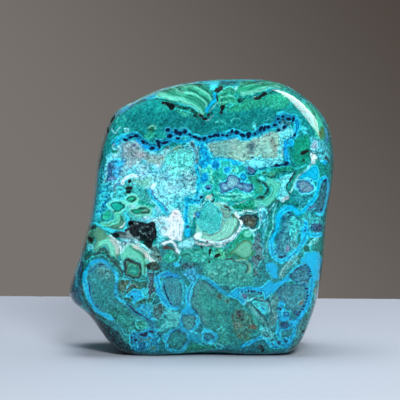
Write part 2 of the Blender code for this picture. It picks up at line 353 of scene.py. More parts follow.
def grounds(skin):
    """The broad areas that everything else lies on."""
    lower = skin.patch((-75, 50), (-40, 47), (-20, 52), (5, 51), (25, 46), (40, 44), (75, 47), (75, -8),
        (-75, -8))
    skin.fill(lower, SEA, 2.5, 0.6)
    skin.mottle(lower, (30, 150, 138), 9, 67, level=0.2, soft=2.5, amount=0.8)
    skin.mottle(lower, (40, 120, 142), 8, 68, level=0.3, soft=2, amount=0.7)
    everywhere = np.full(len(skin.x), -FAR)
    skin.mottle(everywhere, (36, 178, 160), 7, 69, level=0.6, soft=1.8, amount=0.6)
    skin.mottle(everywhere, (8, 112, 118), 6, 70, level=0.5, soft=1.6, amount=0.6)
    deep = skin.patch((-46, 117), (-20, 116), (10, 117), (36, 121), (42, 113), (20, 110), (-20, 109))
    skin.fill(deep, DEEP_TEAL, 4, amount=0.5)
    skin.fill([(0, 98), (14, 97), (30, 92), (30, 80), (24, 74), (6, 74), (0, 80)], TURQUOISE, 1.5, 0.7,
        network=1)
    left_edge = skin.patch((-55, 90), (-46, 94), (-43, 84), (-44, 74), (-50, 66), (-58, 62))
    skin.fill(left_edge, (54, 184, 198), 1.5, 1.1)
    skin.fill([(-52, 96), (-47, 98), (-49, 84), (-56, 60)], SEA, 1.2, amount=0.6)

    # The druse's pale cyan is partly real druse and partly a painted sheen, the soft reflection on the
    # upper left of the face.
    druse = skin.patch((-47.5, 88), (-46, 97), (-42, 103), (-33, 105), (-25, 101), (-18, 101), (-12, 102),
        (-5, 105), (-1, 100), (0, 90), (0, 82), (1, 75), (-3, 68), (-8, 62), (-20, 58), (-30, 65),
        (-38, 68), (-43, 73), (-45, 80))
    skin.fill(druse, (118, 222, 230), 1, 0.75)
    skin.mottle(druse, GREY_PINK, 4, 61, level=0.45, soft=1, amount=0.7)
    skin.mottle(druse, LILAC + 0.04, 3, 62, level=0.5, soft=0.8, amount=0.7)
    skin.mottle(druse, (64, 200, 212), 3, 63, level=0.3, soft=0.8, amount=0.8)
    skin.mottle(druse, WHITE, 3, 64, level=0.8, soft=0.6, amount=0.5)
    sage = skin.patch((1.5, 101.5), (7, 104.5), (14, 105.5), (21, 104), (29, 107.5), (35, 109), (39, 106),
        (40, 100), (38, 96.5), (30, 96.5), (22, 96), (15, 95), (9, 96.5), (4, 98))
    skin.fill(sage, SAGE, 0.6, 0.95)
    skin.mottle(sage, GREY_PINK * 0.8, 5, 65, level=0.4, soft=1.2, amount=0.7)
    skin.mottle(sage, PALE_CYAN, 4, 66, level=0.6, soft=1, amount=0.7)

    speckled = skin.patch((2, 50), (12, 50), (20, 46), (27, 44), (31, 38), (24, 34), (12, 34), (6, 36),
        (0, 42))
    skin.fill(speckled, (60, 168, 146), 1.5, 0.6, network=0.2)
    skin.fill([(-22, 50), (-12, 48), (-2, 50), (0, 42), (-8, 38), (-20, 38), (-26, 44)], DEEP_TEAL, 1.5,
        0.8, network=0.6, amount=0.9)


def top_band(skin):
    """The teal upper part with its malachite fan and lobes along the top edge."""
    skin.line(3.4, [(-43.5, 118), (-38, 121), (-33.7, 123.7), (-29, 125.7), (-22.6, 128)], (50, 190, 240),
        0.5)
    skin.strokes(LILAC, 0.9, [(-43, 118.4), (-40.5, 119.6)], [(-33, 124.8), (-29.5, 126.4)])
    skin.strokes(NAVY, 0.7, [(-42, 116.8), (-38, 119.2), (-34, 121.6)], [(-32, 122.6), (-28, 124.4)])
    # Painted shade along the left edge, where the side turns away: dark green lines over thin dark seams
    # and spots.
    skin.strokes((8, 66, 56), 1.3, [(-43.2, 117.6), (-44.8, 113.4), (-46.6, 109.5), (-47.8, 105)],
        [(-48.2, 104), (-49.4, 98), (-50.6, 91)])
    skin.draw("dark", skin.vein(1, (-43.2, 117), (-44.6, 113.6)), (-46.4, 109.6, 0.9, 1.7, 15),
        (-49, 97, 0.4, 1.6, 10))
    skin.strokes((60, 190, 170), 0.7, [(-41, 116), (-41.6, 113.2), (-39.8, 111.6)],
        [(-38.6, 117), (-37.6, 114.6)])

    cyan_wedge = skin.patch((-6.5, 134.6), (3, 136.4), (20, 137.4), (17, 133), (9.5, 133), (5.5, 130.2),
        (1.5, 132.6))
    skin.fill(cyan_wedge, (84, 222, 244), 0.4, 0.3)
    skin.fill([(9.5, 133.4), (16.5, 133.6), (16, 131.4), (10.5, 131.8)], (16, 104, 112), 0.4)

    fan = skin.patch((-22.6, 128), (-16.5, 132.6), (-9, 133.6), (-2, 133), (1.5, 131.6), (4, 129),
        (5.2, 126), (3.6, 122.6), (1.8, 119.4), (-0.4, 117.2), (-2.6, 119), (-6, 121.6), (-11, 122.9),
        (-16, 124.2), (-20.6, 125.6), rough=0.3)
    skin.fill(fan, (62, 176, 146), 0.3, 0.15)
    skin.fill(skin.ring(fan, 0.9, -0.2), MALACHITE * 0.6, 0.3, amount=0.6)
    skin.band(fan, skin.round_spot(-18, 115.6), 1.45, 0.55)
    mint, dull, deep = rgb(114, 216, 194), rgb(92, 164, 146), rgb(20, 108, 92)
    skin.strokes(mint, 2.5, [(-21.6, 127.2), (-18.6, 126.3), (-14, 125.2), (-10.2, 124.6), (-6.9, 123.4),
        (-3.7, 121.4), (-1.5, 119.6), (-0.4, 118.2)])
    skin.strokes(deep, 0.55, [(-8, 126.3), (-4.8, 125.4), (-2.1, 123.6), (-0.2, 121.7), (1, 119.6)],
        [(-6.9, 127.2), (-3.7, 126.2), (-1, 124.5), (1, 122.3), (1.7, 120.6)], [(-21.3, 128.6),
        (-17.2, 128.4), (-13.7, 127), (-11.3, 126)], [(-20.5, 129.7), (-16.4, 129.5), (-13.2, 128)])
    skin.strokes(deep, 1.3, [(-6.4, 129.2), (-2.9, 128.3), (-0.2, 126.7), (2, 124.8), (3, 122.8)],
        [(-4.4, 131.9), (-1, 131.6), (1.8, 130), (3.6, 127.8), (4.6, 125.6)], [(-16.4, 131.7),
        (-13.2, 130.8), (-10.7, 129.2), (-8.6, 128.6)])
    skin.strokes(mint, 0.8, [(-10.2, 127.9), (-6.4, 128), (-3.2, 127.1), (-0.5, 125.5), (1.7, 123.3),
        (2.2, 121.2)], [(-8, 130.5), (-4.8, 131), (-1.5, 130.4), (1.2, 128.8), (3.3, 126.9), (4.2, 124.8)],
        [(-20, 130.4), (-15.1, 130.5), (-12.4, 129.3), (-10.2, 127.6)],
        [(-14.5, 132.6), (-10.7, 131.9), (-8, 130.4)])
    skin.strokes(dull, 0.9, [(-12.6, 128.6), (-9.8, 127.4), (-9.4, 129.6)])
    skin.line(2.6, [(-12.6, 122), (-7, 120.6), (-3, 118.4), (-1, 116.4)], (14, 96, 80), 0.8)
    skin.fill([(-12, 120.6), (-8, 119.6), (-4.6, 117.4), (-7, 116.6), (-11.6, 118.6)], (64, 184, 156), 0.9,
        amount=0.9)
    skin.draw("dark", skin.patch((-19.9, 125), (-18.6, 124), (-14.4, 123.5), (-13.1, 121.8), (-14.6, 120),
        (-17.6, 122), (-19.6, 122.9), rough=0.5), (-0.3, 117.4, 1.2, 0.8, -20), (1.6, 116, 1.2, 0.9),
        (3.2, 117.8, 0.9, 0.8, 40), (-3.4, 117.2, 0.9, 0.7, -30), (4.8, 118.8, 0.8, 0.5, 40),
        (-4.8, 119.4, 0.8, 0.4))
    skin.strokes((150, 176, 180), 0.4, [(-1.6, 118), (0.4, 116.4), (3.6, 115), (5.2, 117.4)])
    skin.strokes(SKY, 1.3, [(6.6, 127.4), (6.2, 125.4), (4.6, 123.4), (3.2, 121.4), (2, 119.4)])
    skin.strokes((150, 210, 222), 0.35, [(7, 123.6), (5, 121.4), (3.6, 119.6)])

    left_lobe = skin.patch((7.2, 122.4), (7.8, 127), (9.4, 130), (12.6, 131.3), (16, 130.4), (17, 126),
        (16, 123.4), (12, 121.8))
    skin.fill(left_lobe, (50, 168, 134), 0.4, 0.6)
    skin.strokes(mint, 0.5, [(9, 128), (10, 130), (12, 131), (15, 130.6), (16.4, 129)],
        [(9, 126), (12, 126.6), (16, 126)], [(8.6, 123.4), (12, 124), (16.6, 123)])
    skin.strokes(deep, 0.5, [(8.6, 126.8), (12, 127.8), (16, 127.2)],
        [(9, 124.8), (12.6, 125.4), (16, 124.6)])
    for x in (11.2, 14.8):
        skin.fill(skin.ring((x, 128.6, 1, 0.9), 0.5), deep, 0.2, amount=0.9)
    skin.draw("dark", skin.patch((6.6, 128.8), (7, 130.6), (9.4, 131.8), (10.6, 132), (9.8, 130),
        (8.4, 128.4), rough=0.4), skin.patch((8.8, 121.2), (10, 122.4), (11.6, 122.2), (11.2, 120.4),
        (9.9, 117.8), (9, 118.2)), skin.vein(0.7, (7, 126.6), (7.2, 124.4)))

    right_lobe = skin.patch((17.5, 131), (20, 134), (24, 136.4), (34, 136), (42, 132), (46, 128.6),
        (42.5, 129.6), (38, 129.2), (33, 129.6), (28, 128.2), (22, 127), (18, 127.6), rough=0.4)
    skin.fill(right_lobe, (40, 160, 124), 0.4, 0.35)
    skin.strokes(mint * 0.75, 1.9, [(19.5, 128), (24, 128.4), (28.4, 129.6), (33, 130.6), (38, 131)])
    skin.strokes(deep, 0.6, [(20, 133), (24, 134.4), (29, 134.4), (34, 133.4), (39, 132.2)], [(22.5, 129.8),
        (26, 131), (31, 131.6), (35, 131)], [(19, 131), (22, 132.6), (26, 132.8), (30, 132.4)])
    skin.strokes(mint * 0.8, 0.5, [(18.6, 131.8), (20.6, 134), (24, 135.4), (30, 135.2), (36, 133.8)],
        [(21, 131.4), (26, 132), (31, 133), (36, 132.2), (40, 131.4)])
    skin.draw("white", (16.8, 130.4, 0.5, 1), (26.2, 125.3, 0.3, 0.3), (27.6, 125.2, 0.4, 0.3))
    moss = rgb(52, 178, 136)
    skin.fill([(13, 123.4), (18, 126.6), (24, 126), (31, 127), (37, 128), (41, 127.6), (43, 123), (38, 120),
        (28, 121.4), (20, 119.4), (13, 119.4)], moss, 1.6, amount=0.7)
    skin.fill([(17, 124.8), (18, 126), (21, 126.6), (21.2, 125), (19, 123.4), (17.2, 123.6)], PINE, 0.4)
    skin.line(0.8, [(33, 128), (36, 129), (38.4, 130)], PINE, 0.5, amount=0.8)
    skin.draw("dark", skin.patch((24.9, 126.2), (27, 126.4), (29, 128), (31.4, 128.4), (30.6, 126.6),
        (28, 125.4), (25.4, 125), rough=0.5), skin.vein(0.5, (17.4, 132.4), (19.6, 130.6)),
        skin.vein(0.4, (15.6, 133.6), (18.4, 135.6)))
    for x, z, tilt in (
        (24, 124, 10), (29, 123.6, -20), (34.5, 123.4, 15), (21.4, 121.6, -8), (27, 121, 20),
    ):
        skin.strokes((24, 132, 108), 0.5, [(x - 1.8, z - 0.8), (x - 0.6, z + 0.7), (x + 1.6, z - 0.4)])
    skin.strokes((90, 222, 212), 0.4, [(34, 121), (36, 122.6), (38, 122.4)], [(30, 119.4), (32, 120.4)],
        [(6.5, 113.4), (9, 115), (11.6, 113.6)], [(14, 114.6), (16, 116), (18.4, 115.2)])

    skin.strokes(ICE, 0.5, [(-44.2, 110.2), (-43.2, 108.9), (-41.9, 108.6), (-41.3, 110.4), (-40, 111.4)],
        [(-37.6, 111), (-36, 110.8), (-35.8, 109.7), (-37, 109.6), (-37.5, 110.6)])
    skin.fill((-25, 110.8, 1.4, 1.9, -20), (24, 84, 56), 0.6, amount=0.9)
    skin.fill((-24.2, 109.2, 1.2, 0.9), (24, 84, 56), 0.5, amount=0.9)
    skin.strokes((120, 216, 184), 0.8, [(-25.6, 111.2), (-24.2, 112.2), (-22.7, 111.8), (-22.6, 110.4)])
    skin.strokes((40, 190, 180), 0.4, [(-22, 113.2), (-21, 111.4), (-22, 109), (-24.4, 107.6)])
    skin.fill((-25.6, 107, 2.6, 1.6, 20), (60, 196, 160), 1, amount=0.7)
    skin.fill([(23.6, 111.4), (25, 113.8), (26.4, 112.4), (26, 110.4)], (90, 216, 218), 0.4, 0.8,
        amount=0.9)
    skin.fill([(47.6, 110), (50, 112.4), (52.2, 111), (51.8, 108.2), (49, 107.8)], (80, 220, 228), 0.4,
        0.9)
    skin.strokes((80, 210, 210), 0.4, [(31.6, 114.6), (32.6, 116), (34, 115)])
    skin.fill([(44, 112), (46, 106), (44, 99), (47, 93), (53, 95), (54, 104), (51, 107), (48, 106)],
        (14, 146, 122), 1.2, 0.5)
    skin.fill((49.4, 103.2, 3.4, 3.6, 30), (16, 160, 128), 1.2, 0.4, amount=0.8)
    skin.draw("dark", skin.patch((48.4, 99), (50.4, 101), (52.2, 101.6), (51.6, 99.6), (49.6, 98.4)),
        (55.4, 99, 0.9, 0.6, -20), (49.8, 95.6, 0.5, 0.5))


def spotted_chain(skin):
    """The row of navy spots in blue that runs right across under the teal band."""
    path = [(-42.5, 103.7), (-40.9, 105.3), (-38.7, 106.4), (-36, 107.1), (-33.5, 107.6), (-31.2, 106.8),
        (-30, 105.1), (-27.9, 103.6), (-25.7, 102.1), (-23.1, 101.3), (-21.2, 102.2), (-20.6, 104),
        (-18.6, 104.6), (-16.6, 104.8), (-15.8, 106.6), (-14.4, 108), (-12.8, 108.7), (-10.7, 108.2),
        (-8.5, 109), (-7, 108), (-5, 106.8), (-2, 106), (0.5, 105.5), (4.2, 106.6), (8, 107.3),
        (11.7, 107.6), (14.7, 108.7), (17, 108.2), (19.6, 107.4), (23, 107.4), (26.3, 107.8), (28.6, 110),
        (30.5, 110.8), (32.7, 111.3), (35.3, 112.4), (36.6, 114.8), (37.9, 116.5), (40, 117.1),
        (42.2, 116.4), (44.6, 116.2), (46, 114.4), (46.1, 111.4), (45.4, 108.6), (44.7, 106.4),
        (42.4, 105.2)]
    deep = rgb(10, 88, 134)
    skin.line(3.8, path, (40, 170, 192), 0.4, 0.6)
    skin.line(2.7, path, deep, 0.3, 0.6)
    skin.line(2.2, [(-14.6, 105.8), (-8, 105.2), (-3.4, 103.8), (0, 103), (4, 104.4), (8.6, 105.6),
        (13, 106.2), (17.6, 106)], (24, 160, 210), 0.5, 0.6)
    skin.fill([(18.2, 107), (20.6, 106), (22.4, 105), (21, 104.4), (18.6, 105.4)], SKY, 0.4)
    skin.line(2.4, [(-42, 104), (-40, 105.6), (-37.6, 106.4)], (30, 182, 222), 0.4)
    skin.line(1.8, [(-31.6, 104.4), (-29.4, 102.6), (-26.8, 101.8), (-23, 100.8)], (24, 152, 226), 0.4)
    skin.strokes((90, 206, 222), 0.5, [(-19.6, 106), (-22.6, 105.6), (-23, 103.4), (-21.6, 101.6)],
        [(-14.8, 105.6), (-12, 107.4), (-9.4, 107), (-7.6, 105.6)], [(-17.8, 108.6), (-18, 110.6),
        (-16, 111.6), (-15, 110.4)], [(-13.8, 110), (-13, 110.8), (-11, 110.4), (-9.6, 111.2),
        (-7.4, 110.4), (-6.8, 108.8)])
    hook = skin.patch((37.6, 114.8), (40, 115.8), (43, 115), (44.4, 112.6), (42.6, 110.4), (39.6, 109.4),
        (36.4, 110.2), (36.8, 112.6))
    skin.fill(hook, (56, 112, 124), 0.5, 1)
    skin.fill((38.4, 112.4, 1.2, 1.8), (90, 170, 200), 0.5, amount=0.8)
    skin.line(1.2, [(36.8, 109.6), (39.6, 110.8), (42, 112.4), (43.2, 114.4)], BROWN * 0.5, 0.4, 1,
        amount=0.85)
    skin.line(2.6, [(45.8, 115), (46.4, 111.6), (45.8, 109)], (14, 150, 204), 0.4, 0.2)
    for numbers in (
        (-37.4, 105.2, 1.1, 0.8), (-34.6, 106.4, 1.3, 0.7, 10), (-32.2, 106.9, 1.3, 1),
        (-28.9, 104.2, 0.85, 0.85), (-27, 103.6, 0.4, 0.4), (-24.9, 101.4, 1.2, 0.6, -10),
        (-21.5, 104.2, 1.3, 1.1), (-21.3, 102.6, 0.9, 1.2), (-17.9, 104.3, 1.7, 0.65, 6),
        (-16.6, 110, 1.1, 0.8, -30), (-15.8, 106.8, 1.3, 0.9), (-12.5, 109.2, 0.9, 1.15),
        (-10.7, 108.7, 0.95, 0.85), (-8.5, 109.5, 1, 0.7, -30), (-11.7, 106.5, 1.1, 0.5, 10),
        (-6, 107.8, 0.85, 0.6), (-3.6, 106.9, 1.2, 0.6, -15), (-1.4, 106.2, 1, 0.6, -10),
        (1.4, 106, 0.9, 0.9), (3.8, 107.1, 0.9, 0.65), (5.9, 107.7, 1, 0.8, 10), (7.6, 107.4, 0.6, 0.7),
        (9.8, 107.4, 0.8, 0.5), (11.8, 107.6, 0.7, 0.5), (14.5, 109.5, 0.6, 0.85),
        (16.8, 108.7, 1.05, 0.95), (19.5, 107.7, 1.05, 1), (22.9, 108.2, 1.4, 1.25), (22.8, 106.8, 1, 0.8),
        (26.4, 108, 0.75, 0.75), (28.7, 111, 0.8, 1.2), (30.5, 111.2, 0.55, 1), (32.6, 111.5, 0.9, 0.9),
        (35.4, 112.6, 1.1, 0.7, 20), (37.3, 115.8, 0.8, 0.7), (39.7, 117, 0.8, 0.55),
        (37.8, 113.8, 0.5, 0.75), (42.4, 115.7, 0.9, 0.65), (44.3, 115.4, 0.75, 1.2),
        (37.2, 110.1, 0.8, 0.6), (40.4, 111.2, 1, 0.45, 25), (45.2, 107.6, 0.6, 1),
        (43.5, 106.2, 0.45, 0.35), (42, 105.1, 0.45, 0.35),
    ):
        spot = skin.oval(*numbers) - 0.12
        skin.fill(skin.ring(spot, 0.4, -0.4), (56, 156, 196), 0.25, amount=0.6)
        skin.draw("navy", spot)


def middle_left(skin):
    """The pale druse on the left of the middle, partly a painted sheen, and what lies along its edges."""
    grey = rgb(150, 172, 178)
    skin.fill([(-38.4, 103), (-34, 104.2), (-30, 101.8), (-26.6, 99.4), (-22, 98.8), (-18, 98.8),
        (-16.8, 96.4), (-20, 94), (-25, 94.4), (-29, 95.6), (-33, 93.4), (-38.6, 92.6)], grey, 1.2, 0.7,
        amount=0.9)
    skin.fill([(-28, 97), (-22, 96.8), (-17.6, 97.4), (-18.6, 94.6), (-25, 94.4)], (140, 178, 162), 1, 0.8,
        amount=0.8)
    skin.fill((-31, 98.8, 4, 1.6, -15), (172, 172, 180), 1.4, amount=0.7)
    skin.fill((-33.1, 102.7, 0.9, 0.7), (96, 98, 140), 0.4, amount=0.9)
    skin.line(1.8, [(-39.2, 104.4), (-39.2, 100), (-38.6, 96)], (96, 126, 160), 0.7, 0.9, amount=0.9)
    skin.fill([(-17, 98.6), (-13, 101), (-8, 101), (-4.4, 100), (-4, 94), (-8, 88), (-15, 90), (-18, 94)],
        (112, 226, 216), 1, 0.9, amount=0.85)
    skin.fill([(-14.6, 101), (-10, 103.6), (-6.4, 104), (-6, 102.8), (-9.6, 102), (-13.6, 100)],
        (122, 184, 164), 0.4, 0.7)
    skin.strokes((50, 62, 56), 0.4, [(-14.4, 100), (-10, 101.8), (-6.6, 102.4)],
        [(-16.6, 98.6), (-15, 100)])
    skin.fill((-16.6, 101.7, 1.2, 0.7, 10), (104, 104, 118), 0.4, amount=0.9)
    skin.fill([(-6.4, 104.4), (-3, 104), (0.4, 102.6), (-1.4, 100.6), (-4.6, 101.6)], (112, 134, 136), 0.5,
        1)
    skin.strokes((46, 34, 56), 0.7, [(-4.6, 102.2), (-3.8, 101.6)], [(-2.6, 100.4), (-2, 97.6)],
        [(-2.4, 95.8), (-2.2, 93.4)])
    skin.line(1.4, [(-3, 100.4), (-2.6, 97), (-3, 92.6)], (120, 130, 150), 0.7, 1, amount=0.8)

    blue_side = skin.patch((-46.6, 94), (-43, 96.4), (-38.6, 95.6), (-38.4, 91), (-40.4, 86.4), (-44, 84.4),
        (-47, 86.4))
    skin.fill(blue_side, (84, 160, 206), 0.8, 0.9)
    skin.fill([(-43.2, 95.2), (-39, 95), (-39.2, 92.6), (-42.6, 93)], (60, 184, 240), 0.5)
    skin.fill((-41.6, 89.4, 1.9, 1, 10), (70, 184, 240), 0.5)
    skin.fill([(-45.8, 93.4), (-43.6, 93.4), (-43.4, 89.6), (-45.4, 88.8)], (62, 74, 130), 0.5, 0.8,
        amount=0.85)
    skin.fill((-44, 86.4, 2.2, 1.3, 25), (110, 106, 156), 0.6, 0.9, amount=0.85)
    skin.fill((-46.6, 86, 0.8, 1.6), (52, 40, 90), 0.5, amount=0.85)
    skin.fill((-42.6, 99.5, 2.2, 1.3), (18, 148, 120), 0.5)
    skin.fill([(-41.6, 102.4), (-40, 102.6), (-39.8, 97.8), (-42.6, 96.6), (-44.8, 94.4), (-46.2, 96),
        (-44, 98), (-41.2, 99.2)], (146, 220, 226), 0.5, 0.4)
    skin.strokes(ICE, 0.8, [(-42.9, 103.7), (-43.7, 102.4), (-43.4, 101.1), (-41.9, 100.4)],
        [(-46, 95), (-46.6, 91), (-47, 88), (-48, 85)])
    streak = rgb(12, 92, 170)
    skin.strokes(streak, 0.8, [(-48.6, 73), (-46.4, 74.8), (-45, 75.6)], [(-47, 82), (-44.6, 83.6)],
        [(-44.8, 80), (-42.4, 82.6), (-40.4, 84.4)], [(-50.6, 79), (-48, 80.4)], [(-51.6, 70), (-49, 71.6)],
        [(-47.4, 77), (-45.2, 78.4)])
    skin.strokes((60, 200, 214), 0.6, [(-50.4, 82), (-48.4, 83.6)], [(-49.6, 76.4), (-46.6, 78.6)],
        [(-51, 72.6), (-48.4, 74.6), (-46, 76.6)], [(-52.4, 68), (-50.4, 69.2)])

    lobe = skin.patch((-24.4, 81), (-22, 84.4), (-17, 85.6), (-10, 84.6), (-6, 82), (-6, 77), (-9, 72.6),
        (-13, 70.4), (-16.6, 71), (-20, 74), (-23.4, 77.6))
    skin.fill(lobe, (140, 232, 240), 1.2, 0.8)
    skin.fill([(-14, 78), (-7, 79), (-5.6, 74.6), (-10, 71.6), (-15, 73.6)], (70, 200, 214), 1.4, 0.8,
        amount=0.8)
    skin.fill([(-9, 88), (-4.6, 88.6), (-3, 83), (-5, 80), (-9, 82)], (84, 150, 156), 1.6, 1.3,
        amount=0.85)
    # The pale mottles here are partly a painted sheen, the soft reflection on the upper left of the face.
    pale = skin.patch((-44, 95), (-30, 96), (-18, 92), (-7, 91), (-4, 86), (-6, 79), (-16, 75), (-26, 83),
        (-40, 88))
    skin.mottle(pale, (128, 162, 184), 4.2, 91, level=0.3, soft=1.4, amount=0.5)
    skin.mottle(pale, (180, 236, 242), 3, 93, level=0.4, soft=1, amount=0.55)
    skin.strokes((84, 112, 178), 1.3, [(-24.3, 80.8), (-23.7, 78.2), (-21.8, 75.8), (-19.4, 73.8),
        (-17.8, 71.8), (-15.8, 70.8)])
    skin.line(1.6, [(-25.8, 80.4), (-25, 78), (-23.2, 75.6), (-20.6, 73.4), (-18.6, 71), (-16.4, 69.4),
        (-14.6, 68.8)], (40, 200, 228), 0.4, 0.3)
    skin.strokes(ICE, 0.5, [(-27.6, 78.4), (-25, 76.4), (-22.4, 74.2)],
        [(-29, 76.6), (-26, 75.4), (-23.6, 73.6)], [(-26.6, 74.2), (-23, 72.4), (-20, 70)])
    skin.fill((-23.6, 83.2, 1, 2, -30), WHITE, 0.5, 0.2)
    skin.fill([(-33.8, 86.6), (-27, 87), (-24.6, 84), (-27, 81.6), (-32, 82.8)], (128, 204, 190), 1, 0.6)
    skin.strokes((56, 84, 160), 0.6, [(-29, 89.4), (-27.6, 88.2)], [(-32.6, 90.2), (-30.6, 89.2)],
        [(-26, 89.4), (-22, 89.6)], [(-24.4, 88), (-23, 87.4)])

    skin.fill([(-42, 82), (-36, 84), (-29, 83), (-25.4, 78), (-27, 69), (-34, 65), (-40, 68), (-43, 74)],
        (74, 184, 178), 1.2, 0.8)
    skin.line(1.6, [(-38.9, 84), (-38.7, 86.2), (-36.4, 87.6), (-33.8, 87.9), (-31.6, 87.6)], WHITE, 0.4,
        0.2)
    skin.draw("dark", (-35.6, 84.9, 0.8, 1.1), (-35.5, 81.5, 1.8, 0.9), (-36, 79.9, 1.2, 0.8))
    for z, half_height in ((81, 0.4), (78.3, 0.8), (76.4, 0.3)):
        skin.fill((-39.8, z, 2.3, half_height + 0.5), PALE_CYAN, 0.3, 0.2)
        skin.fill((-39.8, z, 1.9, half_height), (20, 70, 56), 0.3)
    skin.fill((-40, 78.4, 1.3, 0.4), MALACHITE, 0.2)
    skin.strokes((16, 180, 150), 1.4, [(-32.6, 75.8), (-28.6, 74.4), (-25.4, 73.4), (-23.2, 73)])
    skin.fill((-33.8, 73.4, 1.7, 1.1, 20), (150, 204, 216), 0.5, 0.5)
    for x, z, half_width, half_height, tilt, colour in (
        (-34.8, 76.4, 2.4, 1.8, 20, rgb(48, 186, 146)), (-41.4, 73.3, 3.5, 2.6, -10, rgb(20, 180, 160)),
        (-30.2, 70.6, 4.7, 1.7, -3, rgb(28, 166, 132)),
    ):
        shape = skin.oval(x, z, half_width, half_height, tilt)
        skin.fill((x, z, half_width + 1.2, half_height + 1.1, tilt), (128, 226, 204), 0.4, 0.2)
        skin.grade(shape, (0, PINE), (0.6, PINE), (1, colour), (3, colour), soft=0.2, grain=0.3)
    skin.fill((-28, 70.4, 1.8, 0.8, 10), (110, 176, 150), 0.4)

    nodule = skin.patch((-51, 61.6), (-49, 66.5), (-45.8, 71), (-41.8, 70), (-38.8, 67.6), (-37.4, 64.6),
        (-38.2, 61.6), (-41, 60.6), (-45, 61.8), (-48.6, 63.4), rough=0.4)
    skin.fill(nodule, (84, 150, 126), 0.3, 0.3)
    skin.strokes((40, 104, 84), 0.7, [(-49, 63.6), (-45.6, 63.2), (-42, 62.4), (-39.6, 63.4)],
        [(-39, 66), (-40.6, 69), (-43, 70.4)])
    skin.line(2.6, [(-48, 64.4), (-44.6, 65.2), (-42.4, 66.4), (-41.4, 69)], (104, 220, 192), 0.4)
    skin.strokes((120, 200, 160), 0.8, [(-46, 64), (-42.4, 64.6), (-40.6, 66.4)])
    skin.fill((-46.4, 68.2, 3.4, 2.7, -20), (10, 60, 48), 0.25)
    skin.grade((-46.5, 68.4, 2.7, 2, -20), (0, MALACHITE), (0.7, (60, 206, 164)), (1.6, (24, 178, 150)),
        soft=0.25)
    skin.strokes(WHITE, 0.9, [(-40.2, 62.6), (-38.6, 63.6), (-37.8, 64.8)])
    rim = [(-51.5, 64), (-47.5, 62.2), (-44, 60.9), (-41, 60.2), (-38, 61.2), (-36.2, 63.6), (-36, 66.4),
        (-37.4, 69.2)]
    skin.line(1.7, rim, (64, 216, 232), 0.3, 0.15)
    skin.draw("dark", skin.vein(0.6, (-37, 68.8), (-35, 66.8), (-34.6, 64.6)))


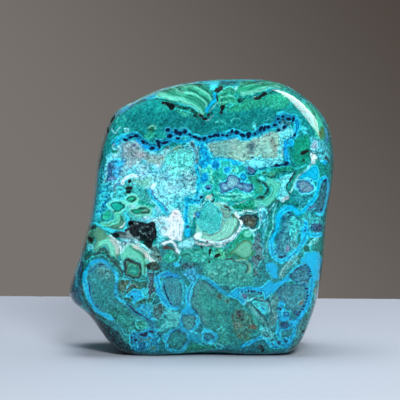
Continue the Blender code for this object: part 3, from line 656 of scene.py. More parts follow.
def middle_right(skin):
    """The sage druse, the turquoise network and the green lobes right of the middle."""
    sage = skin.patch((2.7, 102.8), (6.8, 104), (11.7, 105), (16.6, 105.4), (20, 104.6), (23, 105),
        (27.5, 106), (30, 108), (34.4, 108.8), (38.6, 109.4), (42, 110.6), (44.4, 109.4), (44.4, 107.4),
        (42, 105.4), (39.6, 104.2), (38.2, 101.6), (39, 98.6), (38.6, 96.4), (33, 94), (26, 93), (20, 93.6),
        (16.6, 95.4), (11.7, 97.6), (6, 97.2), (3.8, 99.6), rough=0.6)
    skin.fill(sage, (150, 198, 182), 0.4, 0.55)
    skin.mottle(sage, (168, 190, 190), 5, 65, level=0.3, soft=1.2, amount=0.7)
    skin.mottle(sage, (122, 184, 178), 4, 66, level=0.4, soft=1, amount=0.7)
    skin.fill([(2, 102), (8, 104), (14, 104.6), (13, 98), (7, 97)], (112, 172, 166), 2.5, amount=0.8)
    skin.fill([(23, 103.6), (25.6, 104), (26.8, 101.6), (26, 98), (23.4, 98.4), (22.6, 101)],
        (112, 132, 138), 0.8, 0.8, amount=0.9)
    skin.fill((35, 102.6, 1.4, 3.2, 12), (124, 130, 122), 0.9, 0.8, amount=0.8)
    skin.fill([(38, 107.4), (41, 110), (44.2, 109), (44, 106.8), (41.4, 104.6), (39, 102), (38.6, 98),
        (36.8, 100)], (112, 214, 220), 0.6, 0.8)
    pale = skin.patch((19.6, 93.6), (23, 95.8), (27, 97), (32.4, 96.2), (37.6, 96.6), (39.4, 95),
        (36, 93.2), (31, 92.2), (24, 91.6), (20.6, 92.2))
    skin.fill(pale, (124, 228, 236), 0.5, 0.7)
    skin.strokes((56, 46, 96), 0.6, [(2.6, 101), (4.4, 98.2), (7, 96.8), (10, 96.8), (14, 95.6), (17, 94.2),
        (20, 93)])
    skin.line(2.2, [(40.8, 104.4), (40.4, 101), (41.4, 97.6), (41.8, 94.8)], (20, 150, 214), 0.5, 0.7)
    skin.fill((43.8, 103.4, 1.7, 1.8), (24, 176, 226), 0.4)
    skin.draw("navy", skin.vein(0.5, (26.3, 92.4), (29.2, 91.4), (32.4, 92), (35.7, 93), (39.6, 93.7),
        (42.4, 94)))
    skin.draw("navy", (37, 93.6, 1.2, 0.7), (41, 94.2, 1.3, 0.9, 15), (24.6, 96.6, 0.8, 0.35))

    network = skin.patch((-1, 92), (3, 96), (10, 95.6), (18, 93), (26, 91), (33, 91), (34, 86), (30, 78),
        (24, 74), (14, 74), (6, 76), (1, 80), (-1, 86))
    skin.fill(network, (36, 182, 164), 0.8, 0.6, network=0.5)
    for line in (
        [(4.9, 90.4), (4.6, 87), (5.4, 84.6)], [(-3.4, 91), (-1.6, 89.6), (-2.6, 87)],
        [(2, 93.4), (5, 91.6)], [(8, 86.4), (9.6, 84.8)], [(7, 79.6), (12, 79), (17, 78.6), (23, 79.4)],
        [(9, 77.4), (14, 76.6), (20, 77.6), (25, 78.6)], [(6, 75), (9, 74.6), (12, 73.6)],
    ):
        skin.strokes((124, 232, 210), 1, line)
    for line in (
        [(6.8, 90), (7.6, 87), (6.8, 84)], [(8, 78.4), (14, 77.8), (19, 78.2)],
        [(16.2, 75), (18.8, 75.6), (21.1, 76.5), (23.4, 77), (25.6, 77.3)],
    ):
        skin.strokes((14, 92, 84), 0.5, line)
    skin.strokes((196, 196, 190), 0.4, [(16.4, 74.5), (19, 75), (21.6, 76)])
    bright_ring = rgb(84, 224, 232)
    for x, z, half_width, half_height, tilt, heart in (
        (6.6, 93.2, 2.2, 2.4, 10, rgb(20, 146, 214)), (12.4, 90.6, 1.9, 1.7, 30, rgb(30, 150, 214)),
        (1, 87, 2, 2.4, 0, rgb(24, 150, 214)), (2.9, 82.1, 1.9, 1.5, 0, rgb(90, 130, 178)),
        (16.6, 94, 2.6, 1.1, 8, rgb(26, 162, 222)), (20, 87.6, 2.1, 2.3, 20, rgb(24, 168, 226)),
    ):
        shape = skin.oval(x, z, half_width, half_height, tilt)
        skin.fill((x, z, half_width + 0.7, half_height + 0.7, tilt), bright_ring, 0.25, amount=0.9)
        skin.fill(shape, heart, 0.3, 0.7)
    lobes = skin.patch((8.6, 83), (9.4, 84.9), (11.8, 85.8), (12.9, 87.6), (15.5, 88.6), (18.2, 87.5),
        (19.2, 85.3), (21.4, 84.4), (24.3, 84.1), (25.5, 82.2), (22.8, 80), (19.9, 80.4), (18, 81.4),
        (16.2, 81.1), (14, 80.2), (11, 79.5), (9, 80.5), rough=0.6)
    skin.fill(lobes - 0.7, bright_ring, 0.25, amount=0.95)
    skin.grade(lobes, (0, (62, 84, 150)), (0.7, (74, 92, 152)), (1.3, (104, 146, 184)),
        (2.6, (138, 202, 212)), soft=0.3, grain=0.7)
    skin.fill((5.6, 92.6, 0.9, 0.6, 30), COBALT, 0.3)
    skin.fill((16.2, 90.5, 1.6, 1), (120, 234, 206), 0.3)
    skin.fill(skin.ring((1.1, 91.3, 1.2, 1.2, 30), 0.8), (110, 228, 206), 0.2, amount=0.95)
    skin.draw("dark", (1.1, 91.3, 0.4, 0.5))
    skin.draw("navy", (0.1, 78, 0.9, 0.6), (-1.8, 79, 0.5, 0.4), (2.9, 81.6, 1, 0.5))
    skin.fill((23.8, 90.8, 2.6, 1.9, -10), (88, 106, 148), 0.4, 0.6)
    skin.draw("navy", skin.vein(0.6, (21.2, 91.6), (22.4, 89.4), (25, 89), (26.4, 91)))
    skin.line(1.1, [(2.6, 96.4), (8, 96), (14.5, 95.2), (18.5, 93.4)], SKY, 0.4)
    skin.fill([(-1, 104), (2.4, 102), (4.4, 98), (4.6, 94), (1.6, 91.6), (-1.4, 93)], (22, 170, 220), 0.6,
        0.7)
    skin.strokes((14, 100, 176), 0.6, [(-0.6, 101.6), (0.6, 98.6)], [(2, 98.6), (2.6, 96)],
        [(0, 95), (1, 93)])
    skin.strokes((90, 226, 232), 0.5, [(1.4, 103), (3.4, 99.4), (5, 96.4)], [(-1, 98), (0.4, 96)])

    skin.fill([(27, 89.6), (32, 91), (38, 89.8), (46, 90.8), (46, 92.4), (38, 92.6), (28, 91.2)],
        (28, 160, 130), 0.6, 0.8)
    skin.fill((30.6, 89.4, 1.7, 1.1), (60, 140, 100), 0.4)
    skin.fill((34.2, 89, 1.8, 1.3, 10), (60, 140, 104), 0.4)
    skin.draw("dark", skin.vein(0.6, (29.4, 88.4), (31.5, 88), (33.7, 87.1), (35.7, 88), (36.9, 89.6),
        (39.4, 90), (43, 89.8), (46, 90.2)))
    skin.fill([(26.9, 86.8), (30.8, 86.4), (34.7, 86), (39.6, 87.6), (43.8, 88.8), (42.4, 85.1),
        (41.2, 82.2), (42.2, 79.6), (40.2, 77.2), (36.6, 77), (37.6, 81.2), (36, 83.9), (32.4, 85)],
        (118, 226, 230), 0.4, 0.5)
    skin.fill((40.4, 76.8, 2.2, 1.3, 25), (190, 204, 208), 0.7, 0.5)
    skin.fill((37, 75.8, 1, 0.6), BROWN * 0.7, 0.4)
    skin.draw("dark", skin.vein(0.8, (44.8, 89.3), (42.7, 85.3), (41.4, 82.2), (42.6, 79.8), (43.4, 79)),
        skin.vein(0.4, (45, 86), (43.6, 83.6), (43.6, 81)))

    heart = skin.patch((21.8, 87), (23.6, 88.6), (26.6, 88), (28.2, 85.2), (30.8, 83), (30.6, 81),
        (29, 79.6), (26.4, 80), (25.4, 82.4), (23.6, 84.8))
    skin.fill(heart, (38, 164, 138), 0.4, 0.5)
    skin.fill((29, 82.2, 1.5, 1.6), (66, 170, 132), 0.7)
    band = [(32.6, 85), (35.2, 84), (36, 81.6), (35.4, 78.8), (33.4, 76.4), (30.6, 74.8), (27.2, 74.1),
        (24.6, 74.3)]
    skin.line(4.4, band, (24, 124, 98), 0.3, 0.2)
    skin.line(3.4, band, (94, 202, 182), 0.3, 0.2)
    skin.strokes((58, 176, 140), 0.5, [(33.4, 84), (35, 82), (34.6, 79), (32.6, 76.8), (29.8, 75.4)])
    skin.strokes((28, 58, 40), 1.5, [(27.6, 86), (29.2, 84.6), (31.2, 83.6), (32.4, 82), (32.2, 80.4),
        (30.6, 79.2)])
    skin.draw("dark", skin.vein(0.6, (29.6, 84.6), (31.4, 83.4), (32.4, 81.8)), (31.2, 79.5, 0.6, 0.4, 40))
    skin.fill((28.6, 77.2, 1.9, 1.1, 20), (46, 36, 20), 0.4)
    lobe = skin.patch((13.8, 73.7), (16.9, 74.8), (21.7, 75.4), (25.3, 74.8), (25.9, 72.8), (24.5, 71),
        (22.7, 70), (20.4, 70.2), (17.6, 71.6), (14.8, 72.6))
    skin.fill(lobe, (30, 166, 128), 0.3, 0.9)
    skin.fill((22, 72, 1.8, 1.2, -20), (14, 130, 92), 0.6, amount=0.9)
    skin.strokes((160, 240, 236), 0.9, [(13.2, 72.8), (16.9, 70.8), (19.5, 70), (21.7, 69.2), (24, 69.4),
        (25.8, 70.8)])
    skin.fill([(26, 72), (31, 73.4), (31.4, 69), (29.6, 65), (28.8, 61), (27.4, 63.6), (27.8, 68)],
        (112, 218, 226), 0.5, 0.9)
    skin.strokes((186, 240, 240), 0.9, [(19.7, 70.1), (23.4, 71), (26.7, 70.6), (29.8, 72.6)],
        [(28.6, 70.4), (28.4, 66), (28.2, 62.4), (25.4, 60.9)])
    skin.strokes((150, 226, 230), 0.6, [(35.2, 74), (32, 70.4), (30.2, 66.2), (30.8, 60.8)])
    skin.draw("navy", (29, 70, 0.35, 0.5), (29.4, 67.4, 0.3, 0.5), (28.8, 65, 0.3, 0.4))

    pocket = skin.patch(*POCKET, rough=0.4)
    skin.grade(pocket, (0, (24, 20, 14)), (0.6, (50, 44, 30)), (1.5, (90, 84, 62)), (3, (112, 108, 84)),
        grain=1)

    bands = skin.patch((7, 75.6), (11, 74), (15, 71), (17.2, 67.6), (17.6, 64), (16.2, 60.8), (13.6, 57.6),
        (9, 55.6), (3, 55.6), (-1.6, 57.6), (-3.4, 61), (-2, 68), rough=0.4)
    skin.fill(bands, (140, 216, 198), 0.4, 0.2)
    skin.band(bands, skin.round_spot(3.2, 66.4), 2, 0.5)
    skin.strokes((92, 112, 96), 0.9, [(15.4, 69.4), (17, 66.4), (16.9, 63.4), (15.6, 60.4), (13, 57.6),
        (9.4, 56)])
    skin.fill([(8.6, 74.6), (12, 73.4), (14.6, 70.6), (14.8, 67.6), (11, 66), (9.6, 69)], (128, 178, 164),
        0.7, 0.4)
    skin.fill((11.8, 72.6, 2, 0.9, -38), (84, 72, 44), 0.35)
    skin.fill((15, 69, 1.4, 1.2), (92, 134, 102), 0.3)
    skin.strokes(WHITE, 1.5, [(16.6, 70), (18.2, 67.4), (19, 65.2), (18.4, 62.4), (16.4, 59.6), (14, 57.2),
        (11, 55.7), (7.1, 55), (2.6, 56.2), (-0.9, 57.2), (-3, 58.6)])
    skin.strokes((214, 226, 226), 1.1, [(-3, 55.7), (0.9, 54.2), (4.4, 53.4), (8, 53.2), (11, 54)])
    skin.strokes((176, 150, 150), 0.35, [(-2.4, 55), (1, 54.7), (5, 54.2)])
    skin.fill((-2.2, 58.9, 2, 1.6, 40), WHITE, 0.4, 0.1)
    heart = skin.patch((-1.6, 70.6), (0.6, 73.2), (3.9, 74.6), (7.1, 73.6), (8.8, 71), (9.3, 68),
        (9.3, 65.4), (8.8, 62.6), (7, 60.4), (4.6, 59.2), (1.9, 59.9), (-0.6, 61), (-2.4, 63.2), (-3, 66.6),
        rough=0.5)
    skin.fill(heart, (84, 198, 196), 0.3, 0.45)
    skin.mottle(heart, (56, 184, 180), 4, 75, level=0.2, soft=1, amount=0.8)
    skin.strokes((118, 112, 128), 0.55, [(8.6, 72), (9.6, 69), (9.6, 65), (8.6, 62), (6.6, 59.8),
        (4.2, 58.9), (1.8, 59.4), (-0.4, 60.6)])
    skin.fill((-3.6, 69.6, 1.6, 2, 20), WHITE, 0.35, 0.1)
    skin.fill((-2.2, 69.2, 1.3, 1.6, 20), (60, 130, 184), 0.3, 0.8)
    skin.draw("navy", (-1.6, 68, 0.5, 0.4), (-1.4, 70, 0.4, 0.4))
    skin.fill([(1.4, 77.6), (3, 79), (4.6, 78.2), (4.4, 75.8), (2.4, 75)], (196, 206, 190), 0.3)
    skin.strokes(ICE, 0.8, [(2.2, 75.2), (0, 73.8), (-1.4, 72.4)], [(8, 75.6), (10, 75), (12.6, 74.4)])
    skin.draw("dark", skin.vein(0.8, (4.6, 78.8), (5.6, 77), (4.8, 75)), (2.4, 56, 0.7, 0.55, 30),
        (13.1, 56.3, 0.3, 0.3), (7, 54.8, 0.3, 0.25), (13.4, 71, 0.7, 0.5, -30))

    # The white patch is partly white mineral and partly a painted reflection of a window.
    white = skin.patch((-24.6, 67), (-20.6, 68.6), (-16, 68.8), (-14.2, 70.8), (-11.6, 71), (-9.8, 68.4),
        (-9.5, 65.5), (-9.5, 60.2), (-9.4, 57), (-11.6, 56.2), (-15.1, 57.4), (-17.9, 58.8), (-20, 60.9),
        (-22.1, 64.2), rough=0.6)
    skin.fill(white, (226, 244, 248), 0.7, 0.4)
    skin.fill([(-25, 67), (-20, 68.6), (-16.6, 66), (-17, 61), (-21.6, 62)], (150, 218, 226), 1.6, 0.6,
        amount=0.85)
    # Painted reflection of a window: the brightest white and the upright streaks over it.
    skin.fill([(-15.6, 70), (-10.6, 69), (-10.6, 58), (-15.6, 59)], (248, 253, 254), 1.4, amount=0.7)
    skin.strokes((140, 200, 214), 0.45, [(-14, 66.4), (-13.8, 62), (-13.9, 58.4)],
        [(-12.5, 66.8), (-12.3, 62), (-12.4, 57.6)], [(-11.2, 66), (-11, 61), (-11.2, 57.4)],
        [(-15.6, 65), (-15.4, 61.6)])
    skin.strokes((196, 170, 180), 0.5, [(-21.4, 65.6), (-19.6, 64.6)], [(-13.4, 70), (-12.2, 69)],
        [(-18.4, 62.6), (-17, 61.8)])
    skin.fill([(-9.6, 56.6), (-4, 57), (-2.6, 54.4), (-5, 52.4), (-9.6, 52.6), (-11.6, 54)],
        (146, 226, 232), 0.7, 0.5)
    skin.line(2.6, [(-6.9, 76), (-7.6, 71.6), (-7.4, 67), (-7.2, 63), (-6.8, 59.4)], (24, 178, 228), 0.5,
        0.5)
    skin.grade((-7, 63.2, 1.5, 1.3), (0, NAVY + 0.02), (0.8, (60, 90, 140)), soft=0.3)
    skin.fill([(-8, 76.6), (-3, 77.4), (1, 76.4), (-1.4, 73.6), (-6, 74.4)], (28, 180, 226), 0.5, 0.7)
    skin.draw("navy", skin.vein(0.4, (-6.6, 76.4), (-3.4, 76.1), (-0.6, 76.6)))
    skin.fill([(-6.6, 72.6), (-3.4, 74), (-1.8, 72), (-4.4, 66), (-6.2, 62), (-6.6, 66)], (96, 206, 196),
        0.6, 0.5)
    skin.line(2, [(-2.6, 93), (-2, 88), (-1.4, 84), (-2, 80), (-3.4, 77.6)], (40, 190, 226), 0.6, 0.9)


def right_side(skin):
    """The kidney-shaped nodule, the lilac eye and the veins along the right edge, with a painted highlight
    along its ridge.
    """
    skin.fill([(50, 126), (55, 122), (59, 115), (60.5, 106), (57, 102), (54.6, 108), (53.6, 115),
        (50, 121)], (70, 192, 164), 0.8, 0.35)
    skin.strokes((22, 130, 110), 0.8, [(48, 127), (52, 122.6), (55, 117), (56.2, 110)],
        [(44, 130.6), (48, 128), (51, 125)])
    skin.fill((51.2, 124.8, 2.6, 1.2, -38), (96, 166, 208), 0.5)
    skin.fill([(57, 112), (59.4, 110), (59.6, 105.6), (57.4, 104.6)], (90, 124, 66), 0.7)
    skin.line(1.4, [(60.6, 110), (61.6, 106.6), (61.6, 103.6)], (84, 154, 202), 0.4)
    skin.fill([(52.6, 106), (56, 107), (60, 103.6), (63, 100), (62.4, 95), (58.6, 93.4), (55.6, 95),
        (53.4, 99)], (86, 184, 194), 0.7, 1)
    # Painted highlight: the pale lilac and the white where the ridge's highlight fades, over pale druse.
    skin.fill((54.8, 102.6, 1.4, 2.3, -10), (160, 182, 202), 1, 0.7)
    skin.fill([(53.4, 98.4), (55.6, 98.6), (56, 95.4), (54.4, 93.4), (53, 95.6)], WHITE, 0.5, 0.2)
    skin.fill((59.6, 94, 1.9, 1.1), SKY, 0.4)
    skin.draw("dark", skin.vein(0.5, (52.8, 100), (54.6, 98.8), (56.2, 99.4)),
        skin.vein(0.8, (60.4, 97), (62, 94)))
    skin.fill([(56.6, 97), (60, 93), (62.4, 92), (62.6, 86), (57.2, 86.4), (56.6, 91)], (22, 146, 134), 0.6,
        0.6)

    skin.line(2.2, [(50.6, 92.4), (46.8, 88.8), (44.6, 84.6), (43.4, 81)], (34, 152, 132), 0.4, 0.6)
    wedge = skin.patch((46.8, 86.4), (49.9, 89.6), (53.7, 92.5), (56.6, 92.3), (56.7, 86.4), (54.4, 85.4),
        (51.4, 86.4), rough=0.4)
    skin.fill(wedge, (28, 180, 222), 0.35, 0.2)
    # Painted highlight along the right ridge, where it runs down past the wedge.
    skin.strokes((176, 232, 232), 0.7, [(54.7, 95.3), (51.4, 91.4), (47.6, 87.9), (45.3, 85), (44.5, 81.2),
        (42.8, 79.8)])
    skin.fill([(57, 86), (60, 87.4), (62.4, 86), (62, 79), (60, 72), (56, 69), (52, 70.6), (54, 74),
        (57, 79)], (50, 112, 128), 0.5, 0.9)
    skin.fill((52.6, 72, 3.2, 1.4, 35), (84, 112, 156), 0.6, 0.9)
    skin.fill([(45, 79), (49, 78.6), (54, 79.6), (55, 77), (51, 72.6), (48, 71), (45, 74)], (50, 156, 166),
        0.7, 1)
    skin.fill([(37, 74.6), (42, 76), (46, 75), (48.4, 71), (46, 72.6), (42, 74), (38, 72.6)],
        (20, 132, 124), 0.5, 0.9)
    skin.draw("navy", (59.8, 85.4, 1.2, 1.1), (58, 71.6, 0.9, 0.6))
    eye = skin.oval(50.3, 82.6, 4.5, 3.2, -8)
    skin.fill((50.3, 82.6, 5.6, 4.2, -8), (110, 224, 236), 0.3, 0.2)
    skin.grade(eye, (0, (40, 110, 180)), (0.5, (70, 104, 158)), (1, (118, 148, 172)), (3, (116, 162, 180)),
        soft=0.3, grain=0.6)
    skin.draw("navy", (53.6, 85.4, 0.4, 0.3), (47.6, 80.6, 0.5, 0.4), (54.4, 83, 0.4, 0.3))
    upper = [(47.7, 68.7), (49.9, 71.4), (53.1, 74.7), (55.8, 78.5), (56.9, 82.3), (58, 85.7), (60.1, 87)]
    skin.line(2, upper, (26, 186, 228), 0.35, 0.25)
    skin.line(1.2, [(60, 87.2), (62, 85.6), (61.9, 79), (60.4, 72.5), (58, 68.5), (55.6, 69.6)],
        (64, 182, 232), 0.35, 0.2)
    skin.fill((57, 69, 2, 0.9, -10), (70, 212, 240), 0.35, 0.1)
    skin.fill([(48.6, 68.4), (52, 69.6), (56, 68), (59.6, 66), (59.4, 60), (52, 59.6), (48.6, 61)],
        (60, 172, 174), 0.7, 1.1)
    skin.fill([(53, 63.6), (56, 64.6), (59.4, 63.4), (59, 60.6), (54.6, 60.4)], (64, 80, 122), 0.6, 1)
    skin.fill([(50.4, 59.6), (52.4, 62.6), (51, 65), (48.8, 62), (48.4, 58)], (26, 160, 226), 0.4)
    skin.draw("navy", (52.2, 61, 0.4, 0.6), (53.4, 62.2, 0.4, 0.5), (50.4, 60.8, 0.4, 0.5))

    skin.fill([(49, 57), (53, 58.4), (59.6, 58), (59.6, 47), (55, 46), (50, 49), (48.6, 53)],
        (22, 136, 126), 0.5, 0.5)
    skin.fill((51.3, 52.3, 1.9, 2), (10, 108, 94), 0.4)
    skin.line(1.4, [(53.4, 54.6), (55, 56.6), (56.6, 57.4)], (104, 196, 186), 0.3)
    skin.strokes((176, 232, 226), 0.4, [(52.8, 53.6), (54, 56.6), (56.2, 58), (57, 56.6), (55, 54.6)])

    for width, colour, line in (
        (3, rgb(40, 142, 140), [(33.6, 70), (33.2, 62), (31.4, 56.6), (30.2, 51), (30.6, 46)]),
        (1, rgb(60, 156, 178), [(30.4, 70), (31, 63), (29.6, 57), (30, 52)]),
        (0.9, rgb(18, 140, 118), [(33.6, 67), (33.6, 61), (31.8, 56)]),
        (0.6, rgb(118, 222, 222), [(36.6, 74.4), (34.8, 69), (34.6, 62), (33, 57.4), (31.6, 53),
            (32.2, 47)]), (0.6, rgb(100, 210, 214), [(31.4, 71), (32.2, 66), (31.6, 61), (30, 57)]),
        (0.7, rgb(60, 170, 190), [(35.6, 69), (35.6, 62), (33.8, 57), (32.8, 52)]),
        (0.8, rgb(34, 36, 34), [(28.5, 60.4), (29.1, 57.4), (28, 54.3), (28.4, 51.6)]),
        (0.6, rgb(40, 48, 44), [(32.4, 73.4), (32.4, 70), (30.8, 67)]),
    ):
        skin.strokes(colour, width, line)
    ring = [(47.7, 68.7), (45.5, 71.4), (42.8, 72.3), (39.6, 71), (37.6, 67.6), (37, 63.3), (35.7, 59.5),
        (34.3, 55.7), (34.1, 51.9), (35.7, 48.1), (38.5, 46.2), (41.7, 47.3), (45, 50), (47.7, 52.9),
        (49.9, 56.2), (51, 58.9), (54.7, 59.2), (58.5, 58.6)]
    skin.line(2.7, ring, (24, 130, 190), 0.3)
    skin.line(1.9, ring, (24, 186, 230), 0.35, 0.25)
    body = skin.patch((42.8, 70.6), (45, 68.6), (47.7, 67.4), (49.4, 63.8), (47, 60), (46.6, 56.4),
        (47.6, 54.2), (43.9, 50.9), (40.4, 47.9), (37.4, 48.4), (35.5, 51.9), (35.6, 54.8), (37.4, 58.6),
        (38.8, 61.8), (39, 66), (40.1, 69.6), rough=0.7)
    skin.grade(body, (0, (40, 60, 118)), (0.6, (56, 120, 150)), (2.2, (72, 156, 170)), grain=0.9)
    skin.fill([(43.6, 66.6), (47, 67), (49, 64), (46.6, 60.4), (45.8, 56), (43.6, 57), (43, 62)],
        (78, 208, 204), 0.9, 1)
    skin.strokes((176, 232, 232), 0.4, [(46.4, 62), (45.6, 58.4), (44.6, 54)],
        [(43.6, 56.6), (42.4, 54.6)])
    skin.fill((42, 52, 0.9, 1.7, -10), (134, 112, 146), 0.5, amount=0.9)
    skin.fill((45, 54.6, 1.5, 2, 10), (112, 200, 196), 0.6, 0.9)
    skin.draw("navy", (42.6, 70, 1.1, 0.4, -25), (38.6, 48.5, 1.3, 0.5), (36.2, 50, 0.4, 0.5),
        (40.6, 48.8, 0.5, 0.4), (36.4, 53.4, 0.35, 0.5), (37.2, 51.6, 0.3, 0.3), (38.8, 50.4, 0.3, 0.3),
        (39.6, 65.4, 0.25, 0.3))


def lower_left(skin):
    """The light malachite below the vug, and the big blue-ringed eye."""
    skin.fill([(-58, 60), (-52, 64), (-48, 60), (-50, 52), (-56, 46), (-60, 50)], (18, 92, 80), 0.6, 0.8)
    skin.fill((-54.4, 57, 3, 3.6, -20), (70, 136, 104), 0.4)
    skin.strokes((110, 220, 186), 0.6, [(-56.6, 58), (-54.4, 60.4), (-52.4, 61.6)],
        [(-55.8, 54), (-53.6, 53.4)])
    flow = skin.patch((-51.4, 63), (-47.5, 61.3), (-46.4, 59.6), (-44.6, 58.8), (-43, 56.8), (-40.7, 55),
        (-39.6, 52.2), (-39.8, 50), (-40.9, 48), (-40.5, 45.9), (-41.6, 44.5), (-43.3, 46.6), (-44.7, 48.6),
        (-46.1, 50.4), (-47.7, 51.8), (-49.4, 51.7), (-51, 50.4), (-54.2, 49.8), (-55, 51.7), (-54.2, 53.8),
        (-53, 55.2), (-52.7, 57.8), (-53, 60.2), rough=0.4)
    skin.grade(flow, (0, (56, 112, 96)), (0.8, (92, 160, 138)), (2.4, (112, 198, 172)),
        (4.5, (126, 224, 200)), grain=0.2)
    skin.band(flow, -flow, 1.7, 0.3)
    skin.fill([(-51, 61.8), (-48, 60.6), (-47, 57), (-50, 55), (-52, 58)], (92, 146, 116), 1, amount=0.8)
    skin.strokes((126, 228, 202), 2.2, [(-50, 54.6), (-47, 55), (-44.6, 52.6), (-43.6, 49.4),
        (-43.4, 47.6)])
    skin.strokes((190, 212, 204), 1.9, [(-44.6, 56.2), (-42.4, 53.6), (-41.4, 50.6)])
    skin.strokes(WHITE, 1.1, [(-45.4, 58.2), (-43.2, 57), (-40.9, 55.2), (-39.8, 52.6), (-39.4, 50)])
    skin.draw("dark", (-54.9, 56.4, 1.3, 1.4, -20), skin.vein(0.5, (-54.2, 62), (-52, 63.6)))
    skin.fill(skin.patch((-56.4, 53.5), (-53.6, 53), (-55.2, 49.8), rough=0.3), (112, 214, 226), 0.25)

    skin.fill([(-39.6, 58.4), (-37, 59.7), (-33.6, 60.2), (-31.8, 58), (-31.2, 56.4), (-35, 56),
        (-38.6, 55.6), (-40.2, 56.8)], (136, 160, 152), 0.5, 0.3)
    skin.fill([(-39.6, 56), (-35.6, 57), (-31.4, 57.2), (-29, 55.4), (-29.8, 53), (-34, 54.6), (-38, 52.8),
        (-39.4, 53.6)], (150, 190, 198), 0.4, 0.8)
    skin.fill([(-28.6, 54.6), (-26, 53), (-22, 56), (-19, 58.6), (-18.6, 55), (-22, 51), (-26, 50)],
        (112, 206, 204), 0.6, 0.8)
    skin.fill([(-23, 58.6), (-20.4, 59.6), (-18.4, 57), (-20.6, 54.6)], (112, 232, 240), 0.6)
    skin.strokes((26, 40, 44), 0.5, [(-39.4, 55.4), (-38, 53.8), (-37, 55)], [(-35, 55.4), (-33.6, 54.6)])
    skin.fill([(-25.4, 53), (-20.6, 52), (-20, 47), (-24.6, 45.6)], (106, 140, 132), 0.8, 1.1)

    arcs = skin.patch((-40, 49.4), (-38, 52.2), (-34.5, 54.2), (-30.8, 54.2), (-27.8, 52.2), (-26, 49.4),
        (-25, 46), (-27, 42), (-27.4, 38.6), (-29.4, 40), (-30, 44.6), (-33, 46.8), (-36.6, 48.2),
        (-39, 46.4), rough=0.4)
    skin.fill(arcs, (112, 212, 188), 0.3, 0.2)
    skin.strokes((66, 150, 118), 1.1, [(-35, 53), (-31.6, 51), (-29, 48.6), (-28.2, 46), (-28, 42),
        (-28, 39)])
    skin.strokes((204, 214, 206), 2, [(-33, 53.6), (-30.1, 52.6), (-27.8, 50.6), (-26.4, 48),
        (-23.8, 46.4)])
    skin.strokes((70, 82, 74), 0.4, [(-31.6, 51.8), (-29.2, 50), (-27.8, 47.6)])
    skin.strokes((176, 238, 232), 1.3, [(-39.7, 50.6), (-37.2, 53.3), (-33.8, 54.9), (-30.1, 54.8),
        (-27.1, 52.9), (-25.6, 50.4)])
    square = skin.patch((-38.2, 46.4), (-36.4, 47.8), (-34.9, 47), (-32.2, 46), (-30.1, 44.4),
        (-29.4, 41.7), (-29.9, 38.2), (-31.5, 37), (-34.3, 37.2), (-37, 38), (-39, 39.3), (-38.2, 42.6),
        rough=0.5)
    skin.grade(square, (0, (16, 34, 32)), (1.2, (22, 46, 38)), (1.5, (80, 130, 106)), (2.1, (46, 136, 114)),
        (2.7, (18, 144, 126)), (4.6, (24, 162, 146)), soft=0.25, grain=0.3)
    skin.strokes((92, 226, 190), 0.35, [(-36, 43.6), (-34.8, 44.6), (-33.2, 43.6)],
        [(-35.4, 41.4), (-34, 42.2), (-32.8, 41.2)])
    skin.fill(skin.patch((-40.4, 45), (-39.2, 45.4), (-38.8, 42), (-39.6, 40.8), rough=0.4),
        (120, 214, 220), 0.3)
    skin.fill([(-26.8, 46), (-22, 46.4), (-20.6, 42), (-24, 40.6), (-26.6, 42)], (54, 72, 46), 0.6, 1.1)
    skin.draw("dark", (-26, 43.6, 0.8, 1.3), (-21.4, 48.6, 0.8, 0.6))

    skin.fill([(-68, 40), (-61.6, 50), (-58.4, 44), (-59, 34), (-59, 24), (-68, 22)], (38, 88, 112), 0.6,
        0.7)
    skin.strokes((60, 190, 210), 0.8, [(-59.8, 47), (-61.6, 40), (-61.8, 34)], [(-61, 44), (-62.8, 38)])
    skin.strokes((20, 76, 140), 0.9, [(-59.4, 45.6), (-60.2, 41)])
    skin.fill([(-57.6, 49.4), (-52, 51.4), (-48.5, 53), (-44.6, 50), (-41, 45.6), (-38.4, 40), (-40, 36),
        (-44, 44), (-49.6, 48), (-55, 46), (-58.6, 40)], (16, 120, 108), 0.5, 0.7)
    skin.strokes((58, 66, 56), 1.1, [(-57, 46.6), (-54.6, 48.4), (-51.6, 49.9), (-48.5, 51.8),
        (-46.4, 50.4), (-44.6, 48.2), (-42.6, 45.6), (-40.6, 43), (-39.3, 40.4)])
    skin.strokes((70, 206, 206), 0.4, [(-56.4, 45.4), (-53, 48), (-49.6, 49.2), (-46, 47.6), (-43, 44),
        (-40.4, 40.6)])
    skin.strokes((26, 46, 48), 0.9, [(-58.6, 44), (-59.3, 37), (-58.9, 30), (-57.2, 25), (-54.4, 20.8),
        (-51.4, 18.2), (-47, 16.6)])
    eye = skin.patch((-49.9, 47.4), (-46.6, 46.2), (-43.6, 43), (-41.4, 40), (-41.2, 34), (-41.6, 28.4),
        (-39, 25.6), (-34, 22), (-29, 18), (-26, 13), (-29, 10.6), (-36, 9.6), (-42, 14), (-47, 17.4),
        (-52.4, 20.8), (-56, 25), (-58, 31), (-58.4, 38), (-56, 43), (-53, 46.2), rough=0.4)
    skin.fill(eye, (46, 138, 142), 0.3, 0.65)
    skin.fill([(-52, 36), (-47, 41), (-43.4, 36), (-44, 28), (-47, 22), (-53, 27)], (34, 144, 142), 2,
        amount=0.8)
    skin.fill([(-51.6, 44), (-46, 43.6), (-44.6, 39), (-47.6, 37), (-51, 39)], (92, 152, 148), 1.4, 1.3,
        amount=0.8)
    skin.fill([(-46, 22), (-40, 24), (-32, 18), (-28, 13), (-33, 10.6), (-41, 14)], (26, 138, 122), 1.4,
        1.1, amount=0.85)
    skin.fill((-30, 14.6, 3.2, 2.6, -20), (50, 164, 142), 0.9, 0.9)
    blue = rgb(26, 170, 222)
    skin.line(1.3, [(-57.6, 38), (-56.4, 42), (-53, 45.6), (-49.9, 46.6), (-46.8, 45.4), (-44, 42.4),
        (-42, 39.4)], blue, 0.3, 0.2)
